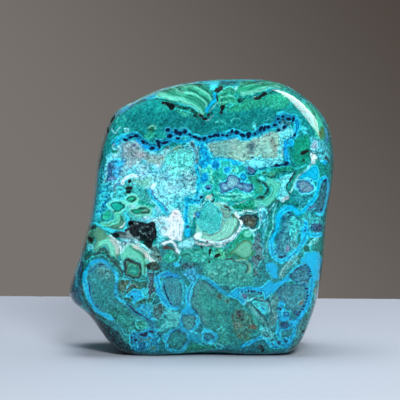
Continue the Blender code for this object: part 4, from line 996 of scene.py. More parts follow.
    skin.line(1.9, [(-57.3, 40), (-57.4, 35.9), (-56.9, 32), (-55.9, 28.3), (-54.2, 24.8), (-52, 22),
        (-49.6, 20), (-46.4, 18.6), (-44, 17)], (34, 182, 228), 0.3, 0.15)
    skin.line(1, [(-41.9, 39.6), (-41.9, 35.9), (-42.1, 32.1), (-41.7, 28.9), (-40, 26.7), (-37.8, 25.4)],
        blue, 0.3, 0.3)
    skin.draw("navy", skin.vein(0.45, (-55.6, 36), (-55.2, 31), (-53.4, 26.6), (-50.6, 23)), skin.vein(0.35,
        (-55, 40), (-52.4, 43.6), (-49, 44.6), (-46, 42.4)))
    skin.draw("navy", (-42.2, 34.6, 0.4, 0.5), (-42.6, 32, 0.35, 0.4), (-42.2, 29.6, 0.4, 0.4))

    skin.fill([(-40.6, 36.6), (-36, 37), (-28, 37), (-25, 40), (-22.6, 36), (-23, 27), (-26, 23), (-33, 25),
        (-40, 28)], (48, 116, 98), 0.5, 0.9)
    skin.fill([(-39, 37.4), (-35, 36.6), (-36, 34), (-38.6, 29.6), (-40, 31)], (84, 110, 82), 0.4)
    skin.strokes((90, 206, 224), 0.6, [(-38.6, 37.2), (-35.2, 36.4), (-36.2, 33.8), (-38.6, 30.6)])
    skin.strokes((160, 112, 70), 0.6, [(-36.6, 31.8), (-34.2, 34.4), (-31.4, 34)])
    star = skin.patch((-39.4, 28.8), (-36.3, 30.6), (-33, 32.6), (-30.3, 32.1), (-28.4, 33.2),
        (-26.4, 30.6), (-27.3, 28.6), (-30.3, 27.8), (-32, 26.5), (-33.7, 25), (-34.6, 27.8), (-37, 28.1),
        rough=0.4)
    skin.fill(star, (38, 178, 226), 0.3, 0.4)
    skin.fill((-28, 30.6, 1.6, 2.2), (58, 204, 210), 0.4)
    skin.draw("dark", (-32.8, 34, 0.9, 0.5, -30), skin.vein(0.4, (-39.6, 27.4), (-36.4, 27.2)),
        (-34.6, 28.2, 0.7, 0.6))
    skin.fill([(-27.4, 41), (-23.6, 40.6), (-23, 33), (-25.6, 27.6), (-27.4, 31), (-26.8, 36)],
        (74, 84, 98), 0.5, 1.2)
    skin.fill((-25.6, 26.6, 1.9, 1.5), (28, 84, 54), 0.5)
    skin.fill([(-24, 24), (-20, 25.6), (-18, 22.6), (-20.4, 18), (-24, 19)], (70, 110, 106), 0.7, 1.1)
    skin.fill([(-31.6, 23.4), (-27, 24.8), (-24.6, 22.8), (-24.1, 19.2), (-23, 16), (-26, 17.2),
        (-28.8, 19.9)], (34, 164, 206), 0.4, 0.7)
    skin.strokes((90, 206, 206), 0.5, [(-29.6, 22.6), (-26.6, 20)], [(-27.6, 23.6), (-25.4, 21.4)])
    skin.draw("navy", skin.vein(0.6, (-37, 24.6), (-34, 22.7), (-31.4, 20.8), (-28.8, 18.7), (-25.8, 16.5),
        (-23.9, 14.6), (-24, 12.6)))
    # Painted shade: the lower left facet faces down under the overhang, so it is drawn dark teal.
    skin.fill([(-56, 20), (-51.4, 17.6), (-46, 14.4), (-41, 10.8), (-37.4, 7.2), (-35.6, 4), (-34, -2),
        (-46, -4), (-56, 10)], (8, 34, 42), 1.2, 0.7)
    skin.strokes((60, 160, 150), 0.5, [(-52.6, 18.4), (-47, 15.2), (-42, 11.8), (-38.4, 8.2), (-36.4, 5)])
    spotted = skin.patch((-35.4, 8), (-33.4, 11.4), (-30, 11), (-26, 13), (-23, 12.6), (-21.6, 6), (-22, 1),
        (-32, 0.4), (-35, 4))
    skin.fill(spotted, (30, 148, 190), 0.9, 1.3)
    skin.fill([(-31.6, 5.4), (-27, 6), (-26.6, 2), (-31, 1.4)], (26, 116, 168), 0.8, 0.9)
    skin.fill((-24.4, 2.6, 1.8, 1, 10), (64, 124, 98), 0.8, 0.9)
    skin.strokes((90, 140, 96), 0.6, [(-31, 7.6), (-28, 6.6), (-25.4, 7.8)])
    skin.draw("navy", (-28.6, 9.1, 2, 0.9, -10), (-27.6, 10, 1, 0.7), (-24.7, 10.8, 1.2, 0.85, -20),
        (-32.4, 6.7, 1, 0.6), (-33.9, 8.2, 0.6, 0.5), (-24.3, 12.9, 0.5, 0.4), (-20.6, 8.8, 0.5, 0.6),
        (-30.2, 9.6, 0.7, 0.5))
    skin.grade((-18.1, 7.8, 1.3, 1.9, -10), (0, NAVY), (0.6, NAVY), (1, (30, 110, 180)), soft=0.25)


def lower_middle(skin):
    """The round green eye, the two ovals and the blue veins between them."""
    skin.fill([(2, 53.4), (10, 53.6), (15, 54.6), (14, 46), (2, 44.6), (-8, 46), (-10, 50), (-4, 52.6)],
        (24, 160, 132), 0.8, 0.9)
    crest = skin.patch((15.4, 54.6), (17, 58), (19.4, 61), (22.8, 61.6), (24.8, 59.6), (26, 56),
        (26.2, 51.6), (24.6, 48), (20, 46.8), (15.4, 48), (12, 48.4), rough=0.4)
    skin.fill(crest, (36, 162, 122), 0.3, 0.3)
    skin.fill((22, 59.6, 2, 1.4), (120, 220, 200), 0.6)
    skin.strokes((176, 244, 244), 0.9, [(15.6, 57.4), (18, 60.4), (20.4, 62.3), (22.8, 62.3), (24.7, 60.6),
        (26, 57.4), (26.8, 54.6)])
    eye = skin.patch((25.3, 54), (24.5, 55.9), (22, 56.9), (18.8, 55.9), (16.6, 53.8), (14.6, 51.4),
        (13, 48.8), (15.6, 49.2), (17.2, 48.4), (20, 47.6), (22.8, 47.8), (24.6, 49.6), (25.4, 51.9),
        rough=0.25)
    skin.grade(eye, (0, (24, 96, 64)), (0.4, (60, 134, 92)), (1, (90, 172, 142)), (1.8, (106, 192, 164)),
        (5, (110, 194, 168)), soft=0.25, grain=0.1)
    skin.strokes((96, 118, 86), 0.3, [(24, 54.6), (22, 55.8), (19.4, 55), (17.4, 53), (15.4, 50.6)])
    skin.draw("dark", (19.3, 51.9, 0.35, 0.35))
    skin.fill([(6, 51.6), (9, 52.4), (11.4, 50.6), (11, 47.8), (7.6, 47)], (84, 196, 148), 0.4)
    skin.draw("dark", (7.5, 48.9, 1.5, 0.9, 15), (3.7, 50.6, 0.5, 1.6),
        skin.vein(0.4, (12.6, 54), (11.6, 51), (12.4, 48.4)), (0, 53, 0.7, 0.5))
    for x, z in (
        (-2, 50), (1, 47.6), (-5.6, 49), (2.4, 51.4), (-0.6, 45.6), (-7, 51), (-3.4, 47.2), (4.4, 48.6),
    ):
        skin.fill((x, z, 1.7, 1.4, 20), (60, 198, 182), 0.6, amount=0.85)
        skin.strokes((10, 96, 82), 0.5, [(x - 1.6, z - 0.9), (x, z - 1.5), (x + 1.6, z - 0.8)])
        skin.strokes((130, 226, 214), 0.35, [(x - 1.2, z + 0.9), (x, z + 1.2), (x + 1.1, z + 0.8)])
    skin.line(1.7, [(-19.2, 55), (-16.5, 55.8), (-13.6, 55.2), (-11.9, 53), (-11.5, 50.8)], WHITE, 0.4,
        0.2)
    skin.fill((-15, 48.4, 3.8, 3.8), (24, 168, 142), 0.6, 0.8)
    skin.line(1.2, [(-18.8, 53), (-16, 52.9), (-13.7, 51.9), (-12.2, 50.4)], (88, 50, 38), 0.3)
    skin.fill((-14.6, 47.6, 1.4, 1.2), (60, 206, 190), 0.5)
    skin.fill((-12.6, 45, 1.5, 1), (46, 180, 226), 0.3)
    skin.fill([(-9.8, 45.4), (-5, 45.4), (-3.6, 43), (-6, 41.4), (-9.6, 42.6)], (44, 74, 86), 0.6, 1.1)

    column = skin.patch((24, 53.4), (27.4, 60), (29.4, 58), (29.6, 52), (31, 47), (29, 44), (28.6, 39),
        (25, 39), (25.6, 44), (23.6, 46.4), (26.4, 50))
    skin.fill(column, (92, 126, 132), 0.5, 1.2)
    skin.mottle(column, (74, 60, 48), 2.6, 81, level=0.4, soft=0.5, amount=0.9)
    knobs = skin.patch((5, 46), (12, 47.6), (20, 46), (24, 45), (24.6, 39), (20, 33.6), (10, 34), (3, 37),
        (2, 42))
    skin.fill(knobs, (66, 174, 160), 0.9, 0.55)
    for x, z, size in (
        (8.4, 43.6, 1.6), (12.4, 44.6, 1.4), (15.6, 42, 2), (7, 40.2, 1.4), (11, 39.6, 1.8),
        (18.6, 38.4, 1.7), (14, 36.6, 1.6), (21.4, 36, 1.4), (6, 36.8, 1.3),
    ):
        shape = skin.oval(x, z, size, size * 0.85)
        skin.fill(skin.ring(shape, 0.5), (20, 108, 92), 0.3, amount=0.75)
        skin.fill((x - 0.2, z + 0.3, size * 0.6, size * 0.5), (112, 212, 200), 0.5, amount=0.6)
    skin.strokes((142, 190, 158), 0.8, [(17.2, 46.6), (20, 47.2), (22.8, 45.6), (23.2, 42.6),
        (22.6, 40.4)])
    skin.strokes((56, 44, 34), 0.8, [(18.8, 45.9), (21.3, 44.8), (22, 42.4), (20.9, 40.4)],
        [(12, 47), (14.6, 47.4), (16.4, 46.4)])
    skin.strokes((150, 232, 214), 0.4, [(3.4, 39.6), (4.4, 41), (6, 40.6), (6, 38.8), (4.4, 38.4)],
        [(13, 40.4), (13.2, 41.8)], [(13.9, 40.4), (14.1, 41.9)], [(14.8, 40.4), (14.9, 41.7)])
    skin.draw("dark", (24, 39.9, 0.5, 0.5), (3, 45.6, 0.5, 0.9))
    skin.fill([(29, 47), (34, 47), (40, 45), (45, 48), (46, 44), (39, 37), (30, 35), (25, 35), (27, 40)],
        (36, 142, 144), 0.8, 0.7)
    skin.fill(skin.patch((31.1, 43.8), (33.2, 45), (37.1, 44.2), (37.2, 39), (35.3, 37.7), (32.8, 39.2),
        rough=0.5), (32, 174, 220), 0.3, 0.15)
    skin.strokes((104, 168, 166), 1.8, [(46, 48.6), (41.6, 43), (38.4, 38.6)])
    skin.strokes((170, 232, 230), 0.35, [(44.8, 48.8), (40.6, 43.2), (37.6, 38.6)],
        [(46.8, 47.6), (43, 43)])

    left_oval = skin.patch((-18.6, 38), (-14.6, 38.6), (-11.4, 36.6), (-9.4, 32.6), (-9.4, 28), (-10.8, 24),
        (-14, 23), (-17, 26.6), (-19.4, 31), (-20, 35.4), rough=0.3)
    skin.line(2, [(-23, 36.6), (-20.6, 39), (-16, 40), (-12.2, 39)], (34, 150, 214), 0.4, 0.4)
    skin.line(2.6, [(-21.8, 38), (-21.4, 33.6), (-20.4, 29.8), (-18.6, 26.6), (-16, 24.2), (-12.4, 22.6)],
        (34, 174, 226), 0.35, 0.25)
    skin.line(1.4, [(-11, 38), (-8.8, 35), (-8, 31), (-8.4, 27), (-9.6, 23.6)], (30, 146, 180), 0.4, 0.6)
    skin.fill(left_oval, (48, 138, 150), 0.25, 0.5)
    for x in (-17, -15.6, -14.4, -13.2, -12):
        skin.strokes((96, 168, 180), 0.35, [(x, 36.4), (x + 0.4, 31), (x + 2, 26)])
    skin.draw("navy", skin.vein(0.5, (-19, 36), (-18.1, 31.4), (-16.5, 27.4), (-14, 23.8), (-11.6, 23.2)),
        skin.vein(0.45, (-17.6, 38.4), (-14.6, 38.9)))
    right_oval = skin.patch((-5.2, 29), (-4.6, 32.9), (-3, 35.3), (-0.9, 36.9), (2.7, 36.4), (6.6, 32.4),
        (12, 28.6), (14, 22), (11, 14), (5, 12), (0, 15), (-2, 19.6), (-4.2, 22.1), (-5.3, 25.4),
        rough=0.3)
    skin.grade(right_oval, (0, (12, 44, 66)), (0.4, (20, 84, 96)), (0.9, (74, 150, 150)),
        (3, (66, 154, 148)), (6, (44, 154, 142)), grain=0.55)
    skin.fill([(6, 34), (13, 30), (22, 25), (32, 14), (34, 8), (26, 8), (16, 3), (6, 6), (2, 14), (6, 24)],
        (30, 138, 132), 1.6, 0.65, amount=0.85)
    skin.mottle(skin.patch((8, 30), (22, 25), (31, 13), (18, 5), (4, 8)), (60, 168, 150), 3, 83, level=0.3,
        soft=0.8, amount=0.7)
    vein_blue = rgb(26, 166, 214)
    skin.line(1.9, [(-2.2, 39), (-4.4, 35.6), (-6.1, 31.6), (-6.7, 27.6), (-6.1, 24.4)], vein_blue, 0.35,
        0.2)
    skin.strokes((110, 214, 236), 0.5, [(-4, 35.4), (-5.8, 31.4), (-6.2, 27), (-5.6, 24)])
    skin.fill([(-12, 22.6), (-7.6, 23.4), (-5.2, 23.4), (-2.3, 20.2), (-1.4, 18.4), (-5.2, 19.8),
        (-8, 19.6)], vein_blue, 0.3, 0.15)
    skin.strokes(ICE, 0.4, [(-7.4, 19.5), (-4.6, 19.6), (-1.8, 18.2)])
    skin.line(1.5, [(-3.4, 38.6), (0, 38.6), (2.9, 37), (5.6, 34.7), (8.4, 31.9), (11.7, 29.9), (14.6, 29)],
        vein_blue * 0.9, 0.3, 0.2)
    skin.fill([(-8, 41.6), (-3, 42), (-1.6, 38.8), (-4, 36.8), (-8, 37.6)], (66, 160, 196), 0.8, 0.9)
    blue = skin.patch((12.6, 29.6), (17.3, 32.6), (23, 33.3), (29.5, 33.7), (32.8, 36.2), (35.8, 35.4),
        (39.6, 37), (44, 41.4), (48, 44.6), (50.4, 42.4), (44, 37.4), (38, 33), (36, 30.8), (33.6, 29.8),
        (31.2, 27.6), (29.8, 30.6), (24, 29.6), (21.6, 26.4), (20.2, 24.2), (17, 26.8), rough=0.4)
    skin.fill(blue, (20, 172, 220), 0.35, 0.12)
    sector = skin.patch((18.4, 30.9), (21, 31.3), (24.6, 31.3), (27.9, 31), (30.2, 29.8), (27.9, 28.8),
        (24.6, 27.8), (22.2, 26.4), (20.4, 27.4), (19.2, 29), rough=0.3)
    skin.fill(sector, (52, 152, 152), 0.3, 0.5)
    skin.fill([(18.6, 30.7), (21, 30.6), (22.4, 28.6), (21.8, 26.8), (20, 28)], (92, 98, 140), 0.5, 0.6)
    for x in (19.4, 21, 22.6, 24.2, 25.8, 27.4, 28.8):
        skin.draw("navy", (x, 31.1 - 0.05 * (x - 22) ** 2 / 4, 0.5, 0.6))
    fan = skin.patch((24.4, 25), (25.9, 26.3), (28.7, 26.4), (31.1, 25.4), (32.3, 23.3), (32.3, 20.4),
        (31, 20), (28.6, 21.6), rough=0.3)
    skin.fill(fan, (74, 200, 202), 0.3, 0.2)
    skin.fill((29.6, 22.6, 1.6, 1, -40), (44, 158, 200), 0.6)
    skin.strokes((36, 74, 104), 0.5, [(22.4, 24.6), (24.4, 26.6), (27.4, 27.1), (30.6, 26.2)])
    skin.strokes((160, 218, 230), 0.5, [(20.4, 24.6), (22.8, 26.9), (26.6, 27.9), (30.5, 27.1),
        (32.8, 24.3), (33, 21)])
    skin.strokes((130, 200, 196), 1.5, [(22.6, 24.4), (26, 20.8), (29, 17.6), (32, 13.2)], amount=0.5)
    skin.strokes((44, 46, 56), 0.8, [(24.6, 24.1), (27.5, 21.2), (29.9, 18.6), (31.5, 16.2), (33.2, 13.8),
        (35.2, 11)])
    skin.fill([(33.2, 28.4), (36.6, 30.6), (39.4, 28), (37, 24), (37, 16), (34, 13), (32.6, 16.4), (34, 20),
        (33.4, 24)], (84, 146, 144), 0.4, 0.7)
    skin.strokes((48, 70, 76), 0.4, [(33, 28), (33.6, 23.3), (34.4, 19.3), (33, 16.2)],
        [(38, 26.6), (36.4, 24.4), (35, 23.8)], [(35.6, 21), (35, 18)])
    skin.strokes((150, 214, 210), 0.35, [(34.4, 27), (34.6, 22), (35.4, 18)], [(37.2, 22), (36.2, 17)])

    for x, z, half_width, half_height, tilt, colour in (
        (19.6, 15.4, 5, 8, 14, rgb(74, 130, 112)), (8.8, 28.4, 1.2, 1.6, 40, rgb(86, 92, 78)),
        (12.3, 26, 1.2, 0.7, -20, rgb(104, 96, 76)), (18.4, 20, 1.1, 2.4, 18, rgb(84, 64, 60)),
        (14.9, 18.4, 0.9, 0.8, 0, rgb(84, 84, 62)), (20, 17, 1, 0.6, 0, rgb(40, 40, 40)),
        (17.3, 14.2, 2.5, 1.9, 0, rgb(108, 132, 112)), (24.6, 13.3, 2.1, 1.3, -6, rgb(118, 82, 50)),
        (18.4, 8.5, 1.2, 1.1, 0, rgb(88, 96, 66)), (22, 7.4, 2.6, 1.4, 0, rgb(70, 132, 100)),
    ):
        skin.fill((x, z, half_width, half_height, tilt), colour, 0.45, 0.8, amount=0.9)
    skin.draw("dark", (16.2, 17.2, 0.5, 0.4), (18.8, 19, 0.5, 0.5), (21.6, 14, 0.3, 0.4))
    for x, z, half_width, half_height, colour, tilt in (
        (-12.2, 6.8, 4.9, 5.2, rgb(36, 140, 138), 0), (-6.6, 16, 4.2, 3.6, rgb(74, 152, 152), 0),
        (3.4, 8.7, 2.9, 2.5, rgb(60, 138, 158), -10),
    ):
        shape = skin.oval(x, z, half_width, half_height, tilt)
        skin.fill((x, z, half_width + 1.5, half_height + 1.3, tilt), (42, 166, 206), 0.4, 0.4)
        skin.grade(shape, (0, (24, 40, 96)), (0.35, (28, 70, 110)), (0.8, colour * 0.9), (2, colour),
            soft=0.3, grain=0.6)
    skin.fill([(-18, 20.8), (-12.6, 21.8), (-10.8, 17), (-11.6, 13.6), (-16, 12.8), (-19.6, 11.2),
        (-20.4, 14), (-18, 17)], (84, 194, 192), 0.7, 0.7)
    skin.fill([(-6.2, 10.6), (-1.4, 9.8), (0.6, 6.4), (-3, 5.6), (-6.6, 7.2)], (24, 158, 186), 0.4, 0.5)
    skin.strokes((92, 216, 224), 0.6, [(-6.8, 11.8), (-3.6, 10.8), (-1, 9.4), (0.3, 7), (3.1, 5.2),
        (6.4, 4.7), (9.2, 4.3), (11.6, 2.8)])
    skin.fill([(-6.6, 4.6), (0, 4.6), (6, 3.6), (10, 2), (-6, 0.6)], (24, 150, 124), 0.6, 0.6)
    skin.line(1.9, [(19.8, 3), (23, 5), (26.3, 6.4), (28.7, 8), (31.1, 7.6), (32.8, 5.8), (34.8, 3.8),
        (38.9, 3.4)], (30, 174, 226), 0.4, 0.4)
    # Painted shade in a small nick of the rim at the foot.
    skin.fill((28.5, 3.2, 1.4, 1.3), (50, 32, 50), 0.4)


def lower_right(skin):
    """The grey-blue fan on the right and the spotted blue below it."""
    skin.fill([(46, 18), (52, 20), (56.5, 30), (58, 38), (59, 46), (61, 30), (58, 12), (46, -1), (40, 1),
        (45, 6), (46.6, 12)], (70, 128, 128), 0.6, 0.7)
    skin.fill([(48.4, 46.4), (52, 50), (58, 50.6), (58.4, 42), (57.4, 37), (54, 33.6), (53.6, 38),
        (52.6, 42), (50.4, 44)], (24, 180, 224), 0.4, 0.12)
    skin.line(2.4, [(54, 37), (53.6, 33), (53.4, 28), (51.6, 23), (48.6, 19), (46.4, 17.4)], (28, 172, 224),
        0.4, 0.3)
    skin.strokes((30, 120, 110), 0.8, [(57, 34.6), (54.6, 31.6)], [(56, 28), (54.4, 24), (51.4, 19.6)])
    upper = skin.patch((42.4, 38.6), (46, 42.4), (49.6, 44.6), (52, 43), (53, 38.6), (52, 35.2), (47, 34.6),
        rough=0.6)
    skin.grade(upper, (0, (24, 60, 118)), (0.7, (44, 104, 140)), (2, (62, 126, 146)), grain=1)
    fan = skin.patch((36.3, 29.9), (37.9, 32.6), (41.2, 34.2), (45.4, 35.2), (48.7, 35), (50.9, 33.9),
        (52.4, 31.6), (51.9, 28.7), (51.1, 25.8), (49.5, 22.1), (47, 17.9), (44.9, 19.2), (41.2, 24.2),
        (37.9, 27.7), rough=0.5)
    skin.grade(fan, (0, (30, 70, 120)), (0.5, (50, 110, 140)), (1.4, (66, 134, 146)), (5, (46, 140, 152)),
        grain=0.55)
    for angle in range(-64, 40, 9):
        lean = math.radians(angle)
        far = (46.4 + 3.4 * math.cos(lean), 27 + 8.2 * math.sin(lean))
        skin.strokes((92, 160, 170), 0.3, [(40 + angle / 90, 30 + angle / 60), far], amount=0.5)
    skin.fill((48.6, 25.6, 1.8, 1.2, 20), (120, 124, 112), 0.5)
    for x, z in (
        (51.2, 32.6), (51.8, 30.8), (51.8, 29), (51.4, 27.2), (51, 25.4), (50.4, 23.6), (49.6, 22),
        (50, 34.4), (48.2, 20.6), (52.6, 40.6), (52, 42.6), (50.2, 43.8), (53, 38.4),
    ):
        skin.draw("navy", (x, z, 0.75, 0.4, 15))
    skin.fill((46.4, 19.6, 1.5, 1.3, -40), (24, 44, 100), 0.5, 0.8)
    skin.strokes((170, 230, 236), 0.5, [(48.6, 35.4), (50.6, 35.8), (52.4, 35)])

    blue = skin.patch((37.4, 24.6), (39, 26.4), (41, 23.4), (44, 18.6), (47.4, 17), (47, 12), (44.6, 6),
        (42, 2.6), (36, 2.4), (33.6, 4.4), (36.6, 8.6), (36.6, 17))
    skin.fill(blue, (28, 168, 214), 0.5, 0.6)
    for x, z, half_width, half_height, tilt in (
        (42.6, 16.6, 1.5, 0.8, 50), (38.6, 14.6, 1.2, 1.8, 10), (43.8, 11.6, 1.8, 1, 70),
        (39.6, 9.2, 1.5, 0.8, 0), (36.8, 7, 1, 1.2, 20),
    ):
        skin.fill((x, z, half_width, half_height, tilt), (44, 138, 150), 0.5, 0.8)
    skin.fill([(38, 11), (43.6, 12.4), (44.6, 9), (39.6, 7.6)], (46, 140, 150), 0.5, 0.9)
    for x, z, half_width, half_height, tilt, heart in (
        (38.4, 22.4, 1.3, 1.1, -30, rgb(70, 60, 90)), (41.2, 19.8, 1.9, 1.4, -10, rgb(40, 120, 180)),
        (40.9, 14.2, 2.2, 1.9, 30, rgb(40, 78, 122)), (38, 5.6, 1.2, 1.7, 10, rgb(20, 50, 110)),
        (41.2, 6.8, 1.3, 1, -10, rgb(50, 130, 180)), (34.6, 5.2, 0.9, 0.8, 0, rgb(40, 60, 90)),
        (37.4, 17.6, 0.4, 0.8, 0, NAVY),
    ):
        shape = skin.oval(x, z, half_width, half_height, tilt)
        skin.grade(shape, (0, (12, 40, 96)), (0.5, (16, 56, 112)), (1, heart), soft=0.25, grain=0.6)
    skin.fill([(27, 12.6), (32.4, 13.4), (35.4, 8.4), (33, 6.6), (28.4, 9)], (92, 176, 176), 0.7, 1, 0.4)
    # The last dark spot, on the rim at the foot, is painted shade in a small nick.
    skin.draw("dark", (50, 10.6, 0.9, 0.7), (51.6, 17, 0.7, 0.5), (29.6, 1.6, 0.8, 1.1))
    skin.line(1.2, [(55.6, 32), (57, 25), (54, 16), (50, 8)], (128, 150, 146), 0.6, 0.5)


# Hollows in the show face, as the solid has them: x, z, half width, half height, tilt in degrees.
VUG = (-29.0, 62.1, 7.3, 4.6, -24)
PITS = [
    (-34.0, 65.1, 3.4, 2.2, -8), (-40.5, 61.0, 7.0, 1.5, -10), (23.2, 68.7, 4.7, 3.4, -12),
    (-16.4, 124.5, 3.0, 1.6, -22), (28.4, 128.7, 3.6, 1.4, 16), (9.8, 123.1, 1.4, 2.4, -15),
    (-36.0, 82.3, 1.7, 2.2, 8),
]


def hollows(skin):
    """The broken walls of the vug and its slit, and the grey shelf between them."""
    skin.fill([(-41.4, 59), (-38, 61.4), (-34, 61.6), (-32.6, 59), (-35, 56.8), (-39.4, 56.6)],
        (128, 150, 152), 0.5, 0.5)
    vug_rim = skin.patch((-35.6, 64.6), (-34.6, 66.4), (-32.5, 65.8), (-30.8, 64.2), (-28, 63.8),
        (-25.6, 64.1), (-24.3, 65.4), (-22.8, 63.6), (-21.5, 61.2), (-22.1, 58.5), (-23.5, 55.7),
        (-24.9, 54), (-25.9, 52.2), (-27.4, 54.4), (-29.6, 55.6), (-31.6, 58.2), (-34.3, 60.9))
    slit = skin.patch((-47.2, 60.8), (-44, 60), (-40.4, 58.6), (-40.8, 57.2), (-43.6, 58), (-46, 59.6),
        rough=0.6)
    shelf_seam = skin.vein(0.9, (-38, 60.9), (-36, 61.6), (-34.6, 61.6))
    pocket_rim = skin.ring(skin.patch(*POCKET, rough=0.4), 0.4)
    for shape in (vug_rim, slit, shelf_seam, pocket_rim):
        skin.draw("dark", np.where(skin.hidden, FAR, shape))


# Meshes ---------------------------------------------------------------------------------------


def only(piece):
    """Selects one piece and nothing else."""
    bpy.ops.object.select_all(action="DESELECT")
    piece.select_set(True)
    bpy.context.view_layer.objects.active = piece


def modify(piece, kind, **settings):
    """Adds a modifier and applies it."""
    modifier = piece.modifiers.new(kind.lower(), kind)
    for name, value in settings.items():
        setattr(modifier, name, value)
    only(piece)
    bpy.ops.object.modifier_apply(modifier=modifier.name)


def read(piece, what):
    """The places or normals of a mesh's vertices, places in mm."""
    values = np.empty(len(piece.data.vertices) * 3)
    piece.data.vertices.foreach_get(what, values)
    return values.reshape(-1, 3) / (MM if what == "co" else 1)


@contextlib.contextmanager
def edit_mode():
    """Edit mode on the active piece, for as long as the with block lasts."""
    bpy.ops.object.mode_set(mode="EDIT")
    yield
    bpy.ops.object.mode_set(mode="OBJECT")


def select_faces(piece, chosen):
    """Selects some of the active piece's faces: chosen says yes or no for each."""
    with edit_mode():
        bpy.ops.mesh.select_mode(type="FACE")
        bpy.ops.mesh.select_all(action="DESELECT")
    piece.data.polygons.foreach_set("select", chosen)


def merged_copy(node, name):
    """A CAD node's mesh as a new piece, its loose triangles joined up."""
    piece = bpy.data.objects.new(name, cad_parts[node].data.copy())
    bpy.context.collection.objects.link(piece)
    only(piece)
    with edit_mode():
        bpy.ops.mesh.select_all(action="SELECT")
        bpy.ops.mesh.remove_doubles(threshold=0.01 * MM)
    return piece


def hollow_depth(places):
    """How far places are from the nearest hollow's mouth, seen from the front: below 0 inside."""
    nearest = np.full(len(places), FAR)
    for oval in [VUG] + PITS:
        reach, _ = oval_reach(places[:, 0], places[:, 2], oval)
        nearest = np.minimum(nearest, (reach - 1) * oval[3])
    nearest[places[:, 1] > 0] = FAR
    return nearest


def weigh(piece, name, weights):
    """Gives a piece's vertices their weights in a new group."""
    group = piece.vertex_groups.new(name=name)
    for number in np.flatnonzero(weights > 0):
        group.add([int(number)], float(weights[number]), "REPLACE")


VOXEL = 1.05  # mm between the points of the stone's skin, before the show face is made finer
SHOW_FACE_NORMAL = -0.5  # faces that look more to the front than this are the show face
RIM_START, RIM_END = 0.4, 2.0  # mm out from a hollow's mouth, between which the polish begins


def polished_stone():
    """The stone, with an even mesh that is finer on the show face."""
    piece = merged_copy("polished_stone", "polished_stone_skin")
    modify(piece, "REMESH", mode="VOXEL", voxel_size=VOXEL * MM, use_smooth_shade=True)
    weigh(piece, "polished", step_between(hollow_depth(read(piece, "co")), RIM_START, RIM_END))
    modify(piece, "SMOOTH", factor=0.5, iterations=24, vertex_group="polished")
    select_faces(piece, [face.normal.y < SHOW_FACE_NORMAL for face in piece.data.polygons])
    with edit_mode():
        bpy.ops.mesh.subdivide(number_cuts=1)
    modify(piece, "SMOOTH", factor=0.5, iterations=4, vertex_group="polished")
    piece.data.shade_smooth()
    return piece


def keep(mesh, name, values):
    """Writes an attribute for every vertex: one number, or a colour."""
    if values.ndim == 1:
        mesh.attributes.new(name, "FLOAT", "POINT").data.foreach_set("value", values)
    else:
        opaque = np.column_stack([np.clip(values, 0, 1), np.ones(len(values))])
        mesh.attributes.new(name, "FLOAT_COLOR", "POINT").data.foreach_set("color", opaque.ravel())


BLUE_LEAN = np.array((-0.06, 0.1, 0))  # what a blue gains in red, green and blue: it leans to cyan
HOLLOW_RIM = 1.0  # mm out from a hollow's mouth that still count as show face
FOOT, WAIST, SHOULDER = 14, 35, 75  # heights of the painted shading: painted shade below FOOT, painted light from WAIST to SHOULDER


def draw_minerals(piece):
    """Draws the whole pattern and writes it to the piece's mesh, with painted shade at its foot and painted
    light towards the top.
    """
    places, normals = read(piece, "co"), read(piece, "normal")
    normals[hollow_depth(places) < HOLLOW_RIM] = (0, -1, 0)
    skin = Skin(places, normals)
    for part in (
        grounds, top_band, spotted_chain, middle_left, middle_right, right_side,
        lower_left, lower_middle, lower_right, hollows,
    ):
        part(skin)
    # Painted shade darkens the stone's foot, and painted light makes it paler from its middle up.
    height = places[:, 2]
    painted_light_and_shade = 0.75 + 0.25 * step_between(height, 0, FOOT) + 0.1 * step_between(height, WAIST, SHOULDER)
    blueness = np.maximum(skin.colour[:, 2] - skin.colour[:, 1], 0)[:, None]
    colour = np.maximum(skin.colour + blueness * BLUE_LEAN, 0)
    keep(piece.data, "minerals", colour * painted_light_and_shade[:, None])
    for ink in Skin.INKS:
        keep(piece.data, ink, skin.inks[ink])
    for name in ("edge", "grain", "network", "bands", "band_strength"):
        keep(piece.data, name, getattr(skin, name))


POINT_RADIUS, POINT_LENGTH, POINT_COUNT = 0.5, 1.9, 170
POINT_TIP = 0.22  # the width of a crystal's tip, as a share of its body's
POINT_LEAN = 0.8  # the most that a crystal leans sideways for each mm that it comes forward
ROOT_DEPTH = 0.4  # mm that its middle lies behind the front of the crust
POINT_REACH = 0.92  # how far out the crystals stand, as a share of the vug's half width
BOWL_DEPTH, BOWL_REACH = 1.7, 0.6  # of the bowl in the crust: mm, and a share of the vug's half width


def crystal():
    """One upright six-sided crystal with a blunt point, its centre at the origin."""
    bpy.ops.object.select_all(action="DESELECT")
    bpy.ops.mesh.primitive_cylinder_add(vertices=6, radius=POINT_RADIUS * MM, depth=POINT_LENGTH * MM)
    made = bpy.context.object
    select_faces(made, [face.normal.z > 0.9 for face in made.data.polygons])
    with edit_mode():
        bpy.ops.mesh.extrude_region_move(TRANSFORM_OT_translate={"value": (0, 0, POINT_RADIUS * MM)})
        bpy.ops.transform.resize(value=(POINT_TIP, POINT_TIP, 1))
    return made


